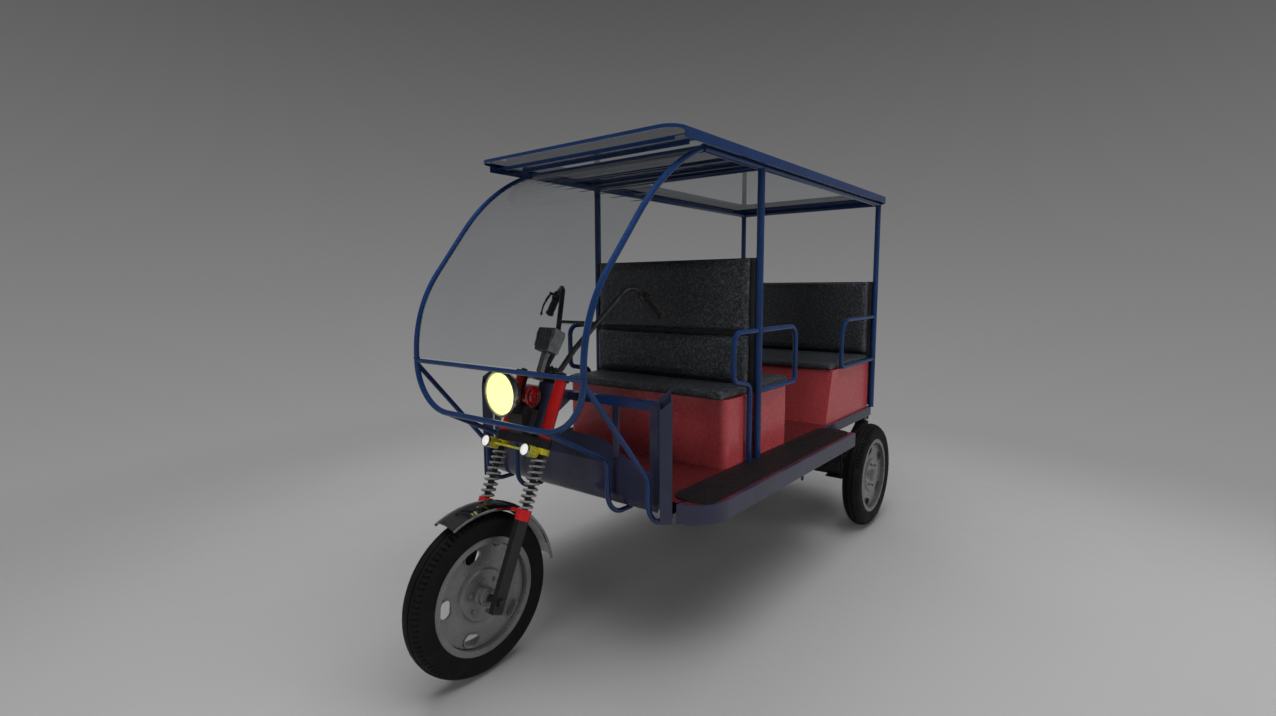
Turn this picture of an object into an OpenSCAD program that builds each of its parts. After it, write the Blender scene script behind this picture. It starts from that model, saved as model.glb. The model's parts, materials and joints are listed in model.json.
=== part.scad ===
// Three-wheeled electric rickshaw with an open tube body and a raked front fork.
// Sizes are in millimetres. X points forward, Y to the left, Z up, with the ground at Z = 0.

/* [Wheels] */
// Distance from the rear axle to the front axle
wheelbase = 2116; // [1950:1:2300]
// Outside diameter of each tyre
tyre_d = 544; // [500:1:580]
// Width of each tyre
tyre_w = 94; // [80:1:104]
// Diameter of the rim where the tyre sits
rim_d = 388; // [360:2:410]
// Gap between the plane of the roof posts and a rear tyre
wheel_gap = 86; // [70:1:120]
// Oval holes round each wheel disc
disc_holes = 5; // [4:1:7]

/* [Floor] */
// Height of the floor plate above the ground
floor_z = 556; // [530:1:600]
// Width of the side step outside the posts
step_w = 165; // [130:1:200]
// Distance from the front axle back to the front edge of the floor
floor_setback = 436; // [400:1:480]
// Radius of the front corners of the floor
corner_r = 140; // [80:1:150]
// Gap between the rear tyre and the end of the side step
step_gap = 20; // [15:1:60]
// Distance the floor stands out behind the rear posts
floor_lip = 17; // [16:1:20]
// Height of the edge that hangs below the floor plate
skirt_h = 66; // [40:1:90]
// Thickness of the floor plate and the leg shield
sheet_t = 3; // [2:0.5:5]
// Thickness of the deck sheet on the floor plate
deck_t = 2; // [1:0.5:4]
// Thickness of the rubber mats
mat_t = 5; // [4:0.5:10]

/* [Body frame] */
// Distance from the middle to a roof post
post_y = 440; // [420:1:460]
// Diameter of the roof posts and roof tubes
post_d = 30; // [25:1:36]
// Place of the middle posts as a share of the wheelbase
mid_share = 0.48; // [0.45:0.01:0.52]
// Rear roof posts, behind the rear axle
rear_post_tail = 449; // [430:1:460]
// Height of the roof tubes
roof_z = 1753; // [1650:1:1850]
// Distance from the front axle back to the front end of the roof tubes
roof_setback = 665; // [620:1:700]
// Distance the roof rim stands out in front of the roof tubes
rim_overhang = 239; // [200:1:260]
// Distance the roof rim stands out behind the rear posts
rim_margin = 29; // [24:1:50]
// Distance the roof rim stands out beside the posts
rim_side = 47; // [35:1:60]
// Height of the roof rim band
rim_h = 36; // [28:1:50]

/* [Windscreen] */
// Diameter of the windscreen tubes
screen_d = 20; // [18:1:26]
// Distance from the front axle back to the plane of the windscreen foot
screen_setback = 72; // [50:1:100]
// Distance the windscreen foot stands in from the roof posts
screen_inset = 20; // [10:1:40]
// Height of the crossbar under the windscreen
screen_bar_z = 1012; // [990:1:1040]
// Distance from the crossbar down to the lowest tube of the front loop
loop_drop = 176; // [150:1:210]
// Thickness of the windscreen pane
pane_t = 4; // [3:0.5:6]
// Diameter of the brace tubes
brace_d = 18; // [16:1:22]

/* [Seats] */
// Depth of the front seat box behind the middle posts
bench_depth = 325; // [290:1:350]
// Depth of the front seat box in front of the middle posts
driver_depth = 230; // [200:1:260]
// Front of the rear seat box at the floor, measured from the rear axle
rear_box_front_x = 220; // [200:1:260]
// Slope of the front of the rear seat box, from floor to top
box_rake = 78; // [40:1:100]
// Height of the seat boxes
box_h = 278; // [250:1:310]
// Thickness of the seat cushions
pad_t = 40; // [30:1:80]
// Height of the tall backrest above the cushions
back_h = 524; // [450:1:560]
// Height of the low driver's backrest above the cushions
low_back_h = 206; // [180:1:240]
// Height of the rear backrest above the cushions
rear_back_h = 434; // [380:1:480]
// Height of the armrests above the cushions
arm_h = 222; // [190:1:250]
// Diameter of the armrest tubes
arm_d = 22; // [18:1:25]

/* [Front fork] */
// Lean of the fork from upright
rake = 23.6; // [18:0.2:28]
// Distance the wheel axle sits in front of the steering axis
fork_offset = 38; // [30:1:50]
// Gap between the side of the front tyre and the middle of a fork leg
leg_gap = 53; // [48:1:65]
// Coils in each fork spring
spring_turns = 9; // [6:1:11]
// Diameter of the headlight
headlight_d = 152; // [130:1:170]
// Distance from the middle to a handlebar end
grip_y = 290; // [260:1:320]
// Diameter of the handlebar tube
grip_bar_d = 20; // [18:1:25]
// Diameter of the steering shaft
stem_d = 40; // [34:1:44]

/* [Clearances] */
// Gap where one piece is welded or bolted to another
weld_gap = 0.2; // [0.1:0.1:0.4]
// Radial clearance of the steering shaft and wheel axles
running_fit = 0.08; // [0.04:0.01:0.1]
// Gap under and beside the cushions
pad_gap = 0.4; // [0.3:0.1:1]
// Gap between the front tyre and the edge of the mudguard
guard_gap = 12; // [8:1:20]

/* [Hidden] */
$fn = 48;
tyre_r = tyre_d / 2;
rim_r = rim_d / 2;
rear_wheel_y = post_y + wheel_gap + tyre_w / 2;
front_hub = tyre_w / 2 + 5;
rear_hub = tyre_w / 2 - 9;
floor_tail = rear_post_tail + floor_lip;
rim_tail = rear_post_tail + rim_margin;
rim_y = post_y + rim_side;
x_shift = -(wheelbase + tyre_r - rim_tail) / 2;
mid_post_x = wheelbase * mid_share;
rear_post_x = -rear_post_tail;
floor_front_x = wheelbase - floor_setback;
roof_front_x = wheelbase - roof_setback;
rim_front_x = roof_front_x + rim_overhang;
screen_x = wheelbase - screen_setback;
screen_y = post_y - screen_inset;
step_y = post_y + step_w;
step_rear_x = tyre_r + step_gap;
deck_z = floor_z + deck_t;
mat_z = deck_z + mat_t;
skirt_z = floor_z - skirt_h;
rail_h = 50;
rail_y = post_y - 25;
plate_z = floor_z - sheet_t;
box_y = post_y - post_d / 2 - 2;
box_z = deck_z + box_h;
pad_z = box_z + pad_t;
arm_z = pad_z + arm_h;
front_box_rear_x = mid_post_x - bench_depth;
front_box_front_x = mid_post_x + driver_depth;
board_t = 15;
rim_z = roof_z + 34 - rim_h;
slat_z = roof_z + post_d / 2 + weld_gap;
post_side = 42;
post_diag = post_side * sqrt(2);
shield_x = floor_front_x + 10;
shield_y = post_y + 47;
shield_post_y = shield_y - post_diag / 2;
sheet_y = shield_y - post_diag - weld_gap;
shield_bend = 78;
shield_top = floor_z + 94;
facet_h = 97;
facet_lean = 42;
notch_x = shield_x - shield_bend - 25;
notch_y = shield_y + 1.5;
bar_side = 30;
bar_x = shield_x - sheet_t - bar_side / 2 - 2;
bar_z = box_z + pad_t;
loop_z = screen_bar_z - loop_drop;
loop_top = screen_bar_z + 10;
loop_r = loop_drop - 2;
screen_rise = roof_z - loop_top;
knee_z = loop_top + 0.2435 * screen_rise;
brow_x = roof_front_x + 0.361 * (screen_x - roof_front_x);
brow_z = roof_z - 0.111 * screen_rise;
cr = cos(rake);
sr = sin(rake);
leg_y = tyre_w / 2 + leg_gap;
leg_top = tyre_r - 10;
clamp_h = 36;
guard_y = tyre_w / 2 + 3;
guard_rise = 22;
spring_low = leg_top + clamp_h + 2 * weld_gap;
spring_top = tyre_r + 212;
collar_h = 20;
low_yoke = spring_top + collar_h + 3;
yoke_t = 30;
top_yoke = low_yoke + 237;
top_yoke_t = 20;
bar_t = top_yoke + top_yoke_t + 16;
rod_d = 22;
head_d = stem_d + 22;
head_low = low_yoke + yoke_t + 8;
head_h = top_yoke - head_low - 8;
lamp_x = wheelbase + 160 * cr - (low_yoke + 135) * sr;
lamp_z = tyre_r + 160 * sr + (low_yoke + 135) * cr;
lamp_depth = 62;
bend_swell = 0.4;
leaves = 4;
leaf_t = 9;
leaf_pitch = leaf_t + weld_gap;
leaf_reach = 380;
leaf_y = rail_y - 5;
eye_r = 14;
eye_z = plate_z - rail_h - 26;
axle_d = 66;
leaf_low = tyre_r + axle_d / 2 + 20;
leaf_sag = eye_z - leaf_low - (leaves - 1) * leaf_pitch - leaf_t;
grey = [0.36, 0.37, 0.38];
navy = [0.10, 0.16, 0.36];
slate = [0.27, 0.29, 0.38];
red = [0.62, 0.16, 0.18];
bright_red = [0.70, 0.06, 0.06];
black = [0.09, 0.09, 0.10];
vinyl = [0.16, 0.17, 0.18];
chrome = [0.80, 0.81, 0.83];
lens = [1.0, 1.0, 0.72];

// Helpers

function unit(v) = v / norm(v);
function turn_of(p, q, s) = acos(unit(q - p) * unit(s - q));
function bend_cut(p, q, s, r) = r * tan(turn_of(p, q, s) / 2);
function fork_at(x, y, z) = [wheelbase + x * cr - z * sr, y, tyre_r + x * sr + z * cr];
function flat(p) = [p[0], p[2]];

// Moves a piece from the rear axle's place to the frame of the whole vehicle.
module at_axle() {
    translate([x_shift, 0, 0]) children();
}

// Both sides of a piece that is drawn on the left.
module both() {
    children();
    mirror([0, 1, 0]) children();
}

// Fork coordinates: the front axle is the origin and Z runs up the fork legs.
module at_fork() {
    translate([x_shift + wheelbase, 0, tyre_r]) rotate([0, -rake, 0]) children();
}

// Turns the Z axis to point along v.
module along(v) {
    w = unit(v);
    side = abs(w[2]) > 0.9 ? [1, 0, 0] : [0, 0, 1];
    u = unit(cross(side, w));
    q = cross(w, u);
    m = [[u[0], q[0], w[0], 0], [u[1], q[1], w[1], 0], [u[2], q[2], w[2], 0], [0, 0, 0, 1]];
    multmatrix(m) children();
}

// A straight round bar from a to b.
module bar(a, b, d) {
    translate(a) along(b - a) cylinder(h = norm(b - a), d = d);
}

// The bend at q on the way from p to s.
module elbow(p, q, s, r, d) {
    d1 = unit(q - p);
    d2 = unit(s - q);
    n = unit(d2 - (d1 * d2) * d1);
    c = q - bend_cut(p, q, s, r) * d1 + r * n;
    e3 = cross(-n, d1);
    m = [[-n[0], d1[0], e3[0], c[0]], [-n[1], d1[1], e3[1], c[1]], [-n[2], d1[2], e3[2], c[2]], [0, 0, 0, 1]];
    multmatrix(m) rotate_extrude(angle = turn_of(p, q, s)) translate([r, 0]) circle(d = d + bend_swell);
}

// A round bar bent along the points with one radius at each inner point.
module bent(points, radii, d) {
    last = len(points) - 1;
    for (i = [0 : last - 1]) {
        a = points[i];
        b = points[i + 1];
        u = unit(b - a);
        cut_a = i == 0 ? 0 : bend_cut(points[i - 1], a, b, radii[i - 1]) - 0.6;
        cut_b = i == last - 1 ? 0 : bend_cut(a, b, points[i + 2], radii[i]) - 0.6;
        bar(a + cut_a * u, b - cut_b * u, d);
    }
    for (i = [1 : last - 1]) {
        elbow(points[i - 1], points[i], points[i + 1], radii[i - 1], d);
    }
}

// Points round the bend at q on the way from p to s, standing off the middle line by off.
function bend_points(p, q, s, r, off) = let (
    d1 = unit(q - p),
    d2 = unit(s - q),
    n = unit(d2 - (d1 * d2) * d1),
    way = d1[0] * d2[1] - d1[1] * d2[0] > 0 ? 1 : -1,
    start = atan2(-n[1], -n[0]),
    c = q - bend_cut(p, q, s, r) * d1 + r * n,
    turn = way * turn_of(p, q, s),
    steps = 14
) [for (i = [0 : steps]) let (a = start + turn * i / steps) c + (r + off) * [cos(a), sin(a)]];
function reversed(v) = [for (i = [len(v) - 1 : -1 : 0]) v[i]];

// A rectangle from a to b with rounded corners.
module round_box_2d(a, b, r) {
    translate([a[0] + r, a[1]]) square([b[0] - a[0] - 2 * r, b[1] - a[1]]);
    translate([a[0], a[1] + r]) square([b[0] - a[0], b[1] - a[1] - 2 * r]);
    for (x = [a[0] + r, b[0] - r]) {
        for (y = [a[1] + r, b[1] - r]) {
            translate([x, y]) circle(r = r);
        }
    }
}

// An oval of radius r, longer by 2 * half along Y.
module oval_2d(r, half) {
    translate([-r + 0.3, -half]) square([2 * r - 0.6, 2 * half]);
    for (y = [-half, half]) {
        translate([0, y]) circle(r = r);
    }
}

// A block from a to b.
module block(a, b) {
    translate(a) cube(b - a);
}

// A cushion from a to b with rounded upright corners.
module cushion(a, b, r) {
    translate([0, 0, a[2]]) linear_extrude(b[2] - a[2]) round_box_2d([a[0], a[1]], [b[0], b[1]], r);
}

// A flat profile drawn in X and Z, pushed out along Y from y0 to y1.
module side_profile(y0, y1) {
    translate([0, y1, 0]) rotate([90, 0, 0]) linear_extrude(y1 - y0) children();
}

// A flat profile drawn in Y and Z, pushed out along X from x0 to x1.
module front_profile(x0, x1) {
    translate([x0, 0, 0]) rotate([90, 0, 90]) linear_extrude(x1 - x0) children();
}

// Wheels

// Section of a tyre with two grooves round its tread.
module tyre_section() {
    half = tyre_w / 2;
    difference() {
        union() {
            translate([tyre_r - half, 0]) circle(r = half, $fn = 96);
            translate([rim_r - 6, -half + 5]) square([tyre_r - half + 16 - rim_r, tyre_w - 10]);
        }
        for (y = [-13, 13]) {
            translate([tyre_r - 7, y - 2]) square([20, 4]);
        }
        translate([0, -100]) square([rim_r + weld_gap, 200]);
    }
}

module tyre_ring() {
    rotate([90, 0, 0]) rotate_extrude($fn = 128) tyre_section();
}

// Section of a pressed wheel as radius and side: hub, raised boss, flat disc and rim channel.
function wheel_points(bore_r, hub) = let (
    side = tyre_w / 2 - 8,
    well = rim_r - 20,
    boss = 0.43 * rim_r,
    inner = 0.55 * rim_r,
    outer = 0.885 * rim_r
) [
    [bore_r, -hub], [26, -hub], [30, 4 - hub], [30, 20],
    [boss - 2, 20], [boss + 6, 14], [inner, 16], [outer, 16], [well, 8],
    [well, -side], [rim_r, -side], [rim_r, 4 - side], [rim_r - 14, 4 - side],
    [rim_r - 14, side - 4], [rim_r, side - 4], [rim_r, side], [well, side],
    [well, 16], [outer, 22], [inner, 22], [boss + 6, 20], [boss, 27],
    [36, 27], [30, 30], [30, hub - 4], [26, hub], [bore_r, hub]
];

module disc_wheel(bore_r, hub) {
    rotate([90, 0, 0]) mirror([0, 0, 1]) difference() {
        union() {
            rotate_extrude($fn = 128) polygon(wheel_points(bore_r, hub));
            wheel_ovals(20, 25) oval_2d(24, 10);
        }
        wheel_ovals(0, 60) oval_2d(20, 10);
    }
}

// The oval holes or their raised edges, from side z0 to z1 of the disc.
module wheel_ovals(z0, z1) {
    for (i = [0 : disc_holes - 1]) {
        rotate([0, 0, 360 / disc_holes * i + 3]) translate([0.75 * rim_r, 0, z0]) {
            linear_extrude(z1 - z0) children();
        }
    }
}

module front_tyre() {
    color(black) at_axle() translate([wheelbase, 0, tyre_r]) tyre_ring();
}

module front_rim() {
    color(grey) at_axle() translate([wheelbase, 0, tyre_r]) disc_wheel(10 + running_fit, front_hub);
}

module rear_tyre_left() {
    color(black) at_axle() translate([0, rear_wheel_y, tyre_r]) tyre_ring();
}

module rear_rim_left() {
    color(grey) at_axle() translate([0, rear_wheel_y, tyre_r]) disc_wheel(16 + running_fit, rear_hub);
}

module rear_tyre_right() {
    mirror([0, 1, 0]) rear_tyre_left();
}

module rear_rim_right() {
    mirror([0, 1, 0]) rear_rim_left();
}

// Floor and chassis

// Plan of the floor: a narrow tail, wide steps with round front corners, and a notch for the leg shield.
module floor_plan(inset) {
    rear = step_rear_x + inset;
    side = step_y - inset;
    tail = post_y - inset;
    difference() {
        union() {
            round_box_2d([rear, -side], [floor_front_x - inset, side], corner_r - inset);
            translate([rear, -side]) square([corner_r + 60, 2 * side]);
            translate([-floor_tail + inset, -tail]) square([floor_tail + step_rear_x + 40, 2 * tail]);
        }
        translate([notch_x - inset, -notch_y - inset]) square([500, 2 * (notch_y + inset)]);
    }
}

module floor_pan() {
    peg_x = mid_post_x - 110;
    color(slate) at_axle() {
        translate([0, 0, plate_z]) linear_extrude(sheet_t) floor_plan(0);
        translate([0, 0, skirt_z]) linear_extrude(skirt_h) difference() {
            floor_plan(0);
            floor_plan(sheet_t);
            translate([-floor_tail - 10, -post_y - 20]) square([floor_tail + step_rear_x, 2 * post_y + 40]);
        }
        both() translate([peg_x, step_y - 8, skirt_z - 22]) cylinder(h = 40, d = 12);
    }
}

// Deck sheet over the floor plate; it reaches forward to the leg shield.
module floor_deck() {
    rear = notch_x - 100;
    color(red) at_axle() translate([0, 0, floor_z]) linear_extrude(deck_t) {
        floor_plan(14);
        translate([rear, -sheet_y + 3]) square([shield_x - sheet_t - 3 - rear, 2 * sheet_y - 6]);
        translate([rear, -shield_y + 3]) square([shield_x - 24 - rear, 2 * shield_y - 6]);
    }
}

module chassis_rails() {
    top = plate_z;
    hanger_z = eye_z - 6 + eye_r + weld_gap;
    color(slate) at_axle() {
        both() {
            block([-floor_tail, rail_y - 20, top - rail_h], [notch_x - sheet_t - weld_gap, rail_y + 20, top]);
            for (x = [-leaf_reach, leaf_reach]) {
                block([x - 20, rail_y - 20, hanger_z], [x + 20, rail_y + 20, top - rail_h + 1]);
            }
            block([-floor_tail - 9, rail_y - 6, top - 78], [-floor_tail + 1, rail_y + 6, top - 8]);
        }
        for (x = [-floor_tail, 30, front_box_rear_x - 130, mid_post_x - 15, mid_post_x + 365]) {
            block([x, -rail_y + 20 + weld_gap, top - 40], [x + 40, rail_y - 20 - weld_gap, top]);
        }
    }
}

// Rubber mats on the side steps, cut out round the posts and the armrest feet.
module floor_mats() {
    color(black) at_axle() both() difference() {
        cushion([step_rear_x + 8, box_y + 4, deck_z], [floor_front_x - 46, step_y - 20, mat_z], 56);
        for (p = [[mid_post_x, post_d], [arm_foot_x(), arm_d]]) {
            r = p[1] / 2 + 3;
            block([p[0] - r, box_y - 20, deck_z - 5], [p[0] + r, post_y + r, mat_z + 5]);
        }
    }
}

// Side view of the leg shield: upright, and rolled under at the bottom.
module shield_profile(top) {
    low = skirt_z - sheet_t;
    translate([shield_x - sheet_t, low + shield_bend]) square([sheet_t, top - low - shield_bend]);
    intersection() {
        difference() {
            translate([shield_x - shield_bend, low + shield_bend]) circle(r = shield_bend);
            translate([shield_x - shield_bend, low + shield_bend]) circle(r = shield_bend - sheet_t);
        }
        translate([shield_x - shield_bend, low]) square([shield_bend, shield_bend]);
    }
    translate([shield_x - shield_bend - 40, low]) square([40, sheet_t]);
}

// A square tube on edge with its top cut on the slope.
module shield_post() {
    translate([shield_x + 8, shield_post_y, 0]) difference() {
        translate([0, 0, skirt_z + 4]) linear_extrude(bar_z + 60 - skirt_z) difference() {
            rotate(45) square(post_side, center = true);
            rotate(45) square(post_side - 6, center = true);
        }
        translate([-post_diag / 2, -100, bar_z + 64]) rotate([0, 48, 0]) cube([200, 200, 200]);
    }
}

// A flat stay from the facet up to the shield bar.
module shield_stay() {
    x = shield_x - sheet_t - 22;
    low = shield_top + 14;
    block([x, 0.48 * sheet_y, low], [x + 5, 0.545 * sheet_y, bar_z - bar_side / 2 - weld_gap]);
}

// Leg shield: rolled sheet with side strips, a facet that leans back, two stays, and a post at each side.
module leg_shield() {
    strip_y = sheet_y - 40;
    low_y = strip_y - 24;
    high_y = strip_y * 0.27;
    color(slate) at_axle() {
        difference() {
            side_profile(-sheet_y, sheet_y) shield_profile(bar_z + 8);
            block([shield_x - 10, -strip_y, shield_top], [shield_x + 10, strip_y, roof_z]);
        }
        translate([shield_x - sheet_t, 0, shield_top - 3]) rotate([0, -facet_lean, 0]) {
            front_profile(0, sheet_t) {
                polygon([[-low_y, 0], [low_y, 0], [high_y, facet_h], [-high_y, facet_h]]);
            }
        }
        both() shield_stay();
        both() shield_post();
    }
}

module shield_bar() {
    reach = shield_x + 8 - bar_x - bar_side / 2;
    y = shield_post_y - post_diag / 2 + reach - 2 * weld_gap;
    color(navy) at_axle() translate([bar_x, 0, bar_z]) side_profile(-y, y) difference() {
        square(bar_side, center = true);
        square(bar_side - 5, center = true);
    }
}

// Body tubes

module roof_frame() {
    cross_d = post_d - 2;
    color(navy) at_axle() {
        both() bar([-floor_tail + 4, post_y, roof_z], [roof_front_x, post_y, roof_z], post_d);
        difference() {
            for (x = [rear_post_x, mid_post_x, roof_front_x - post_d / 2]) {
                bar([x, -post_y, roof_z], [x, post_y, roof_z], cross_d);
            }
            both() bar([-600, post_y, roof_z], [roof_front_x + 100, post_y, roof_z], post_d + 2 * weld_gap);
        }
        both() difference() {
            for (x = [mid_post_x, rear_post_x]) {
                bar([x, post_y, deck_z], [x, post_y, roof_z], post_d);
            }
            bar([-600, post_y, roof_z], [roof_front_x + 100, post_y, roof_z], post_d + 2 * weld_gap);
            for (x = [mid_post_x, rear_post_x]) {
                bar([x, 0, roof_z], [x, post_y, roof_z], cross_d + 2 * weld_gap);
            }
        }
    }
}

module rim_plan(inset) {
    round_box_2d([-rim_tail + inset, -rim_y + inset], [rim_front_x - inset, rim_y - inset], 60 - inset);
}

// Roof rim: an angle band that narrows to its top edge across the front.
module roof_rim() {
    color(navy) at_axle() difference() {
        translate([0, 0, rim_z]) linear_extrude(rim_h) rim_plan(0);
        translate([0, 0, rim_z - 1]) linear_extrude(rim_h - 2) rim_plan(3);
        translate([0, 0, rim_z]) linear_extrude(rim_h + 1) rim_plan(22);
        block(
            [rim_front_x - 62, -rim_y - 10, rim_z - 10],
            [rim_front_x + 10, rim_y + 10, rim_z + rim_h - 12]
        );
    }
}

// Slats across the roof as shallow channels; columns are the rear edge and the width.
module roof_slats() {
    y = rim_y - 3 - weld_gap;
    lip_y = post_y - post_d / 2 - 4;
    color(navy) at_axle() {
        for (s = [[rear_post_x + 29, 110], [mid_post_x + 45, 125], [roof_front_x + 55, 90]]) {
            block([s[0], -y, slat_z], [s[0] + s[1], y, slat_z + 4]);
            for (x = [s[0], s[0] + s[1] - 3]) {
                block([x, -lip_y, slat_z - 10], [x + 3, lip_y, slat_z + 1]);
            }
        }
    }
}

// Windscreen

function screen_points(y0, y1) = [
    [roof_front_x + weld_gap, y0, roof_z],
    [brow_x, y0, brow_z],
    [screen_x, y1, knee_z],
    [screen_x, y1, loop_top]
];
function screen_radii(p) = [
    0.97 * norm(p[1] - p[0]) / tan(turn_of(p[0], p[1], p[2]) / 2),
    0.95 * norm(p[3] - p[2]) / tan(turn_of(p[1], p[2], p[3]) / 2)
];

module windscreen_arcs() {
    p = screen_points(post_y, screen_y);
    start = p[0] - 8 * unit(p[1] - p[0]);
    weld = [roof_front_x + weld_gap, post_y + 40, roof_z + 40];
    color(navy) at_axle() both() difference() {
        bent([start, p[1], p[2], p[3]], screen_radii(p), screen_d);
        block([roof_front_x - 60, post_y - 40, roof_z - 40], weld);
    }
}

// Loop below the windscreen with its crossbar.
module front_loop() {
    top = loop_top - weld_gap;
    color(navy) at_axle() {
        bent([[screen_x, screen_y, top], [screen_x, screen_y, loop_z], [screen_x, -screen_y, loop_z],
            [screen_x, -screen_y, top]], [loop_r, loop_r], screen_d);
        difference() {
            bar([screen_x, -screen_y, screen_bar_z], [screen_x, screen_y, screen_bar_z], screen_d - 4);
            both() front_loop_side(2 * weld_gap);
        }
    }
}

// One upper side of the front loop, thicker by extra, for the cuts of what meets it.
module front_loop_side(extra) {
    a = [screen_x, screen_y, loop_top + 60];
    b = [screen_x, screen_y, loop_z];
    c = [screen_x, 0, loop_z];
    bar(a, b + [0, 0, loop_r - 1], screen_d + extra);
    elbow(a, b, c, loop_r, screen_d + extra);
    bar(b - [0, loop_r - 1, 0], c - [0, 50, 0], screen_d + extra);
}

// One face of the pane in side view, standing off the middle line of the arcs by off.
function pane_face(p, r, off) = concat(
    bend_points(p[0], p[1], p[2], r[0], off),
    bend_points(p[1], p[2], p[3], r[1], off),
    [[screen_x + off, screen_bar_z + screen_d / 2 + 4]]
);

// Clear pane between the two arcs, from the roof down to the crossbar.
module windscreen_pane() {
    full = screen_points(screen_y, screen_y);
    r = screen_radii(full);
    p = [for (q = full) flat(q)];
    low = screen_y - screen_d / 2 - 2;
    high = post_y - screen_d / 2 - 2;
    color([0.75, 0.8, 0.84, 0.4]) at_axle() intersection() {
        side_profile(-post_y, post_y) {
            polygon(concat(pane_face(p, r, pane_t / 2), reversed(pane_face(p, r, -pane_t / 2))));
        }
        front_profile(roof_front_x - 50, screen_x + 50) {
            polygon([[-low, loop_z], [low, loop_z], [low, knee_z], [high, brow_z],
                [high, roof_z + 50], [-high, roof_z + 50], [-high, brow_z], [-low, knee_z]]);
        }
    }
}

// Braces from the front loop down to the leg shield, given as upper end, its height, foot and bend.
module shield_braces() {
    x = shield_x + 46;
    low = skirt_z - sheet_t - brace_d / 2 - 1;
    outer = [screen_y, screen_bar_z - 12, screen_y - 3, shield_top - 10];
    inner = [0.57 * post_y, loop_z, 0.54 * post_y, shield_top + 26];
    color(navy) at_axle() both() difference() {
        union() {
            for (s = [outer, inner]) {
                foot = [[x, s[2], s[3]], [x, s[2], low], [x - 130, s[2], low]];
                bent(concat([[screen_x, s[0], s[1]]], foot), [50, 80], brace_d);
            }
        }
        front_loop_side(2 * weld_gap);
    }
}

// Seats

module front_seat_box() {
    y = box_y - 4;
    color(red) at_axle() difference() {
        cushion([front_box_rear_x, -box_y, deck_z], [front_box_front_x, box_y, box_z], 30);
        cushion([front_box_rear_x + 4, -y, deck_z - 1], [front_box_front_x - 4, y, box_z - 4], 26);
    }
}

// Side view of the rear seat box, drawn in by t.
module rear_box_profile(t) {
    back = -floor_tail + 40;
    foot = deck_z - (t > 0 ? 1 : 0);
    nose = rear_box_front_x - t;
    polygon([[back + t, foot], [nose, foot], [nose - box_rake, box_z - t], [back + t, box_z - t]]);
}

module rear_seat_box() {
    color(red) at_axle() difference() {
        side_profile(-box_y, box_y) rear_box_profile(0);
        side_profile(-box_y + 4, box_y - 4) rear_box_profile(4);
    }
}

module battery_pack() {
    y = box_y - 120;
    color([0.2, 0.22, 0.25]) at_axle() {
        block([front_box_rear_x + 60, -y, deck_z], [front_box_front_x - 60, y, box_z - 60]);
    }
}

module seat_boards() {
    y = post_y - post_d / 2 - 0.3;
    color(black) at_axle() {
        translate([mid_post_x - board_t / 2, -y, box_z + pad_gap]) {
            cube([board_t, 2 * y, pad_t + back_h - 6 - pad_gap]);
        }
        translate([rear_post_x - board_t / 2 + 4, -y, deck_z + 10]) {
            cube([board_t, 2 * y, pad_z + rear_back_h - 16 - deck_z]);
        }
    }
}

module driver_pad() {
    color(vinyl) at_axle() cushion([mid_post_x + board_t / 2 + pad_gap, -box_y, box_z + pad_gap],
        [front_box_front_x + 32, box_y, pad_z], 35);
}

module middle_pad() {
    color(vinyl) at_axle() cushion([front_box_rear_x - 25, -box_y, box_z + pad_gap],
        [mid_post_x - board_t / 2 - pad_gap, box_y, pad_z], 35);
}

module rear_pad() {
    color(vinyl) at_axle() cushion([rear_post_x + board_t / 2 + 5, -box_y, box_z + pad_gap],
        [rear_box_front_x - box_rake + 22, box_y, pad_z], 30);
}

module driver_back() {
    x = mid_post_x + board_t / 2 + pad_gap;
    y = box_y - 6;
    color(vinyl) at_axle() cushion([x, -y, pad_z + pad_gap], [x + 44, y, pad_z + low_back_h], 18);
}

module upper_back() {
    x = mid_post_x + board_t / 2 + pad_gap;
    low = pad_z + low_back_h + 2 * pad_gap;
    y = box_y - 6;
    color(vinyl) at_axle() cushion([x, -y, low], [x + 30, y, pad_z + back_h], 12);
}

module middle_back() {
    x = mid_post_x - board_t / 2 - pad_gap;
    y = box_y - 6;
    color(vinyl) at_axle() cushion([x - 45, -y, pad_z + pad_gap], [x, y, pad_z + back_h], 18);
}

module rear_back() {
    x = rear_post_x + board_t / 2 + 4 + pad_gap;
    y = box_y - 4;
    color(vinyl) at_axle() cushion([x, -y, pad_z + pad_gap], [x + 55, y, pad_z + rear_back_h], 20);
}

function arm_foot_x() = mid_post_x + 72;

// Side loops by the two benches, each on its post; the front ones have a foot on the floor.
module armrests() {
    foot = arm_foot_x();
    front = front_box_front_x - 26;
    rear = front_box_rear_x - 35;
    mid = mid_post_x - post_d / 2 - weld_gap;
    back = rear_post_x + post_d / 2 + weld_gap;
    nose = rear_box_front_x - box_rake - 72;
    low = box_z + 10;
    color(navy) at_axle() both() difference() {
        union() {
            bent([[foot, post_y, deck_z], [foot, post_y, box_z + 44], [front, post_y, box_z + 72],
                [front, post_y, arm_z], [rear, post_y, arm_z], [rear, post_y, low], [mid, post_y, low]],
                [40, 30, 45, 55, 25], arm_d);
            bent([[back, post_y, arm_z], [nose, post_y, arm_z], [nose, post_y, low], [back, post_y, low]],
                [90, 30], arm_d);
        }
        bar([mid_post_x, post_y, deck_z], [mid_post_x, post_y, roof_z], post_d + 2 * weld_gap);
    }
}

// Rear axle

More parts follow.
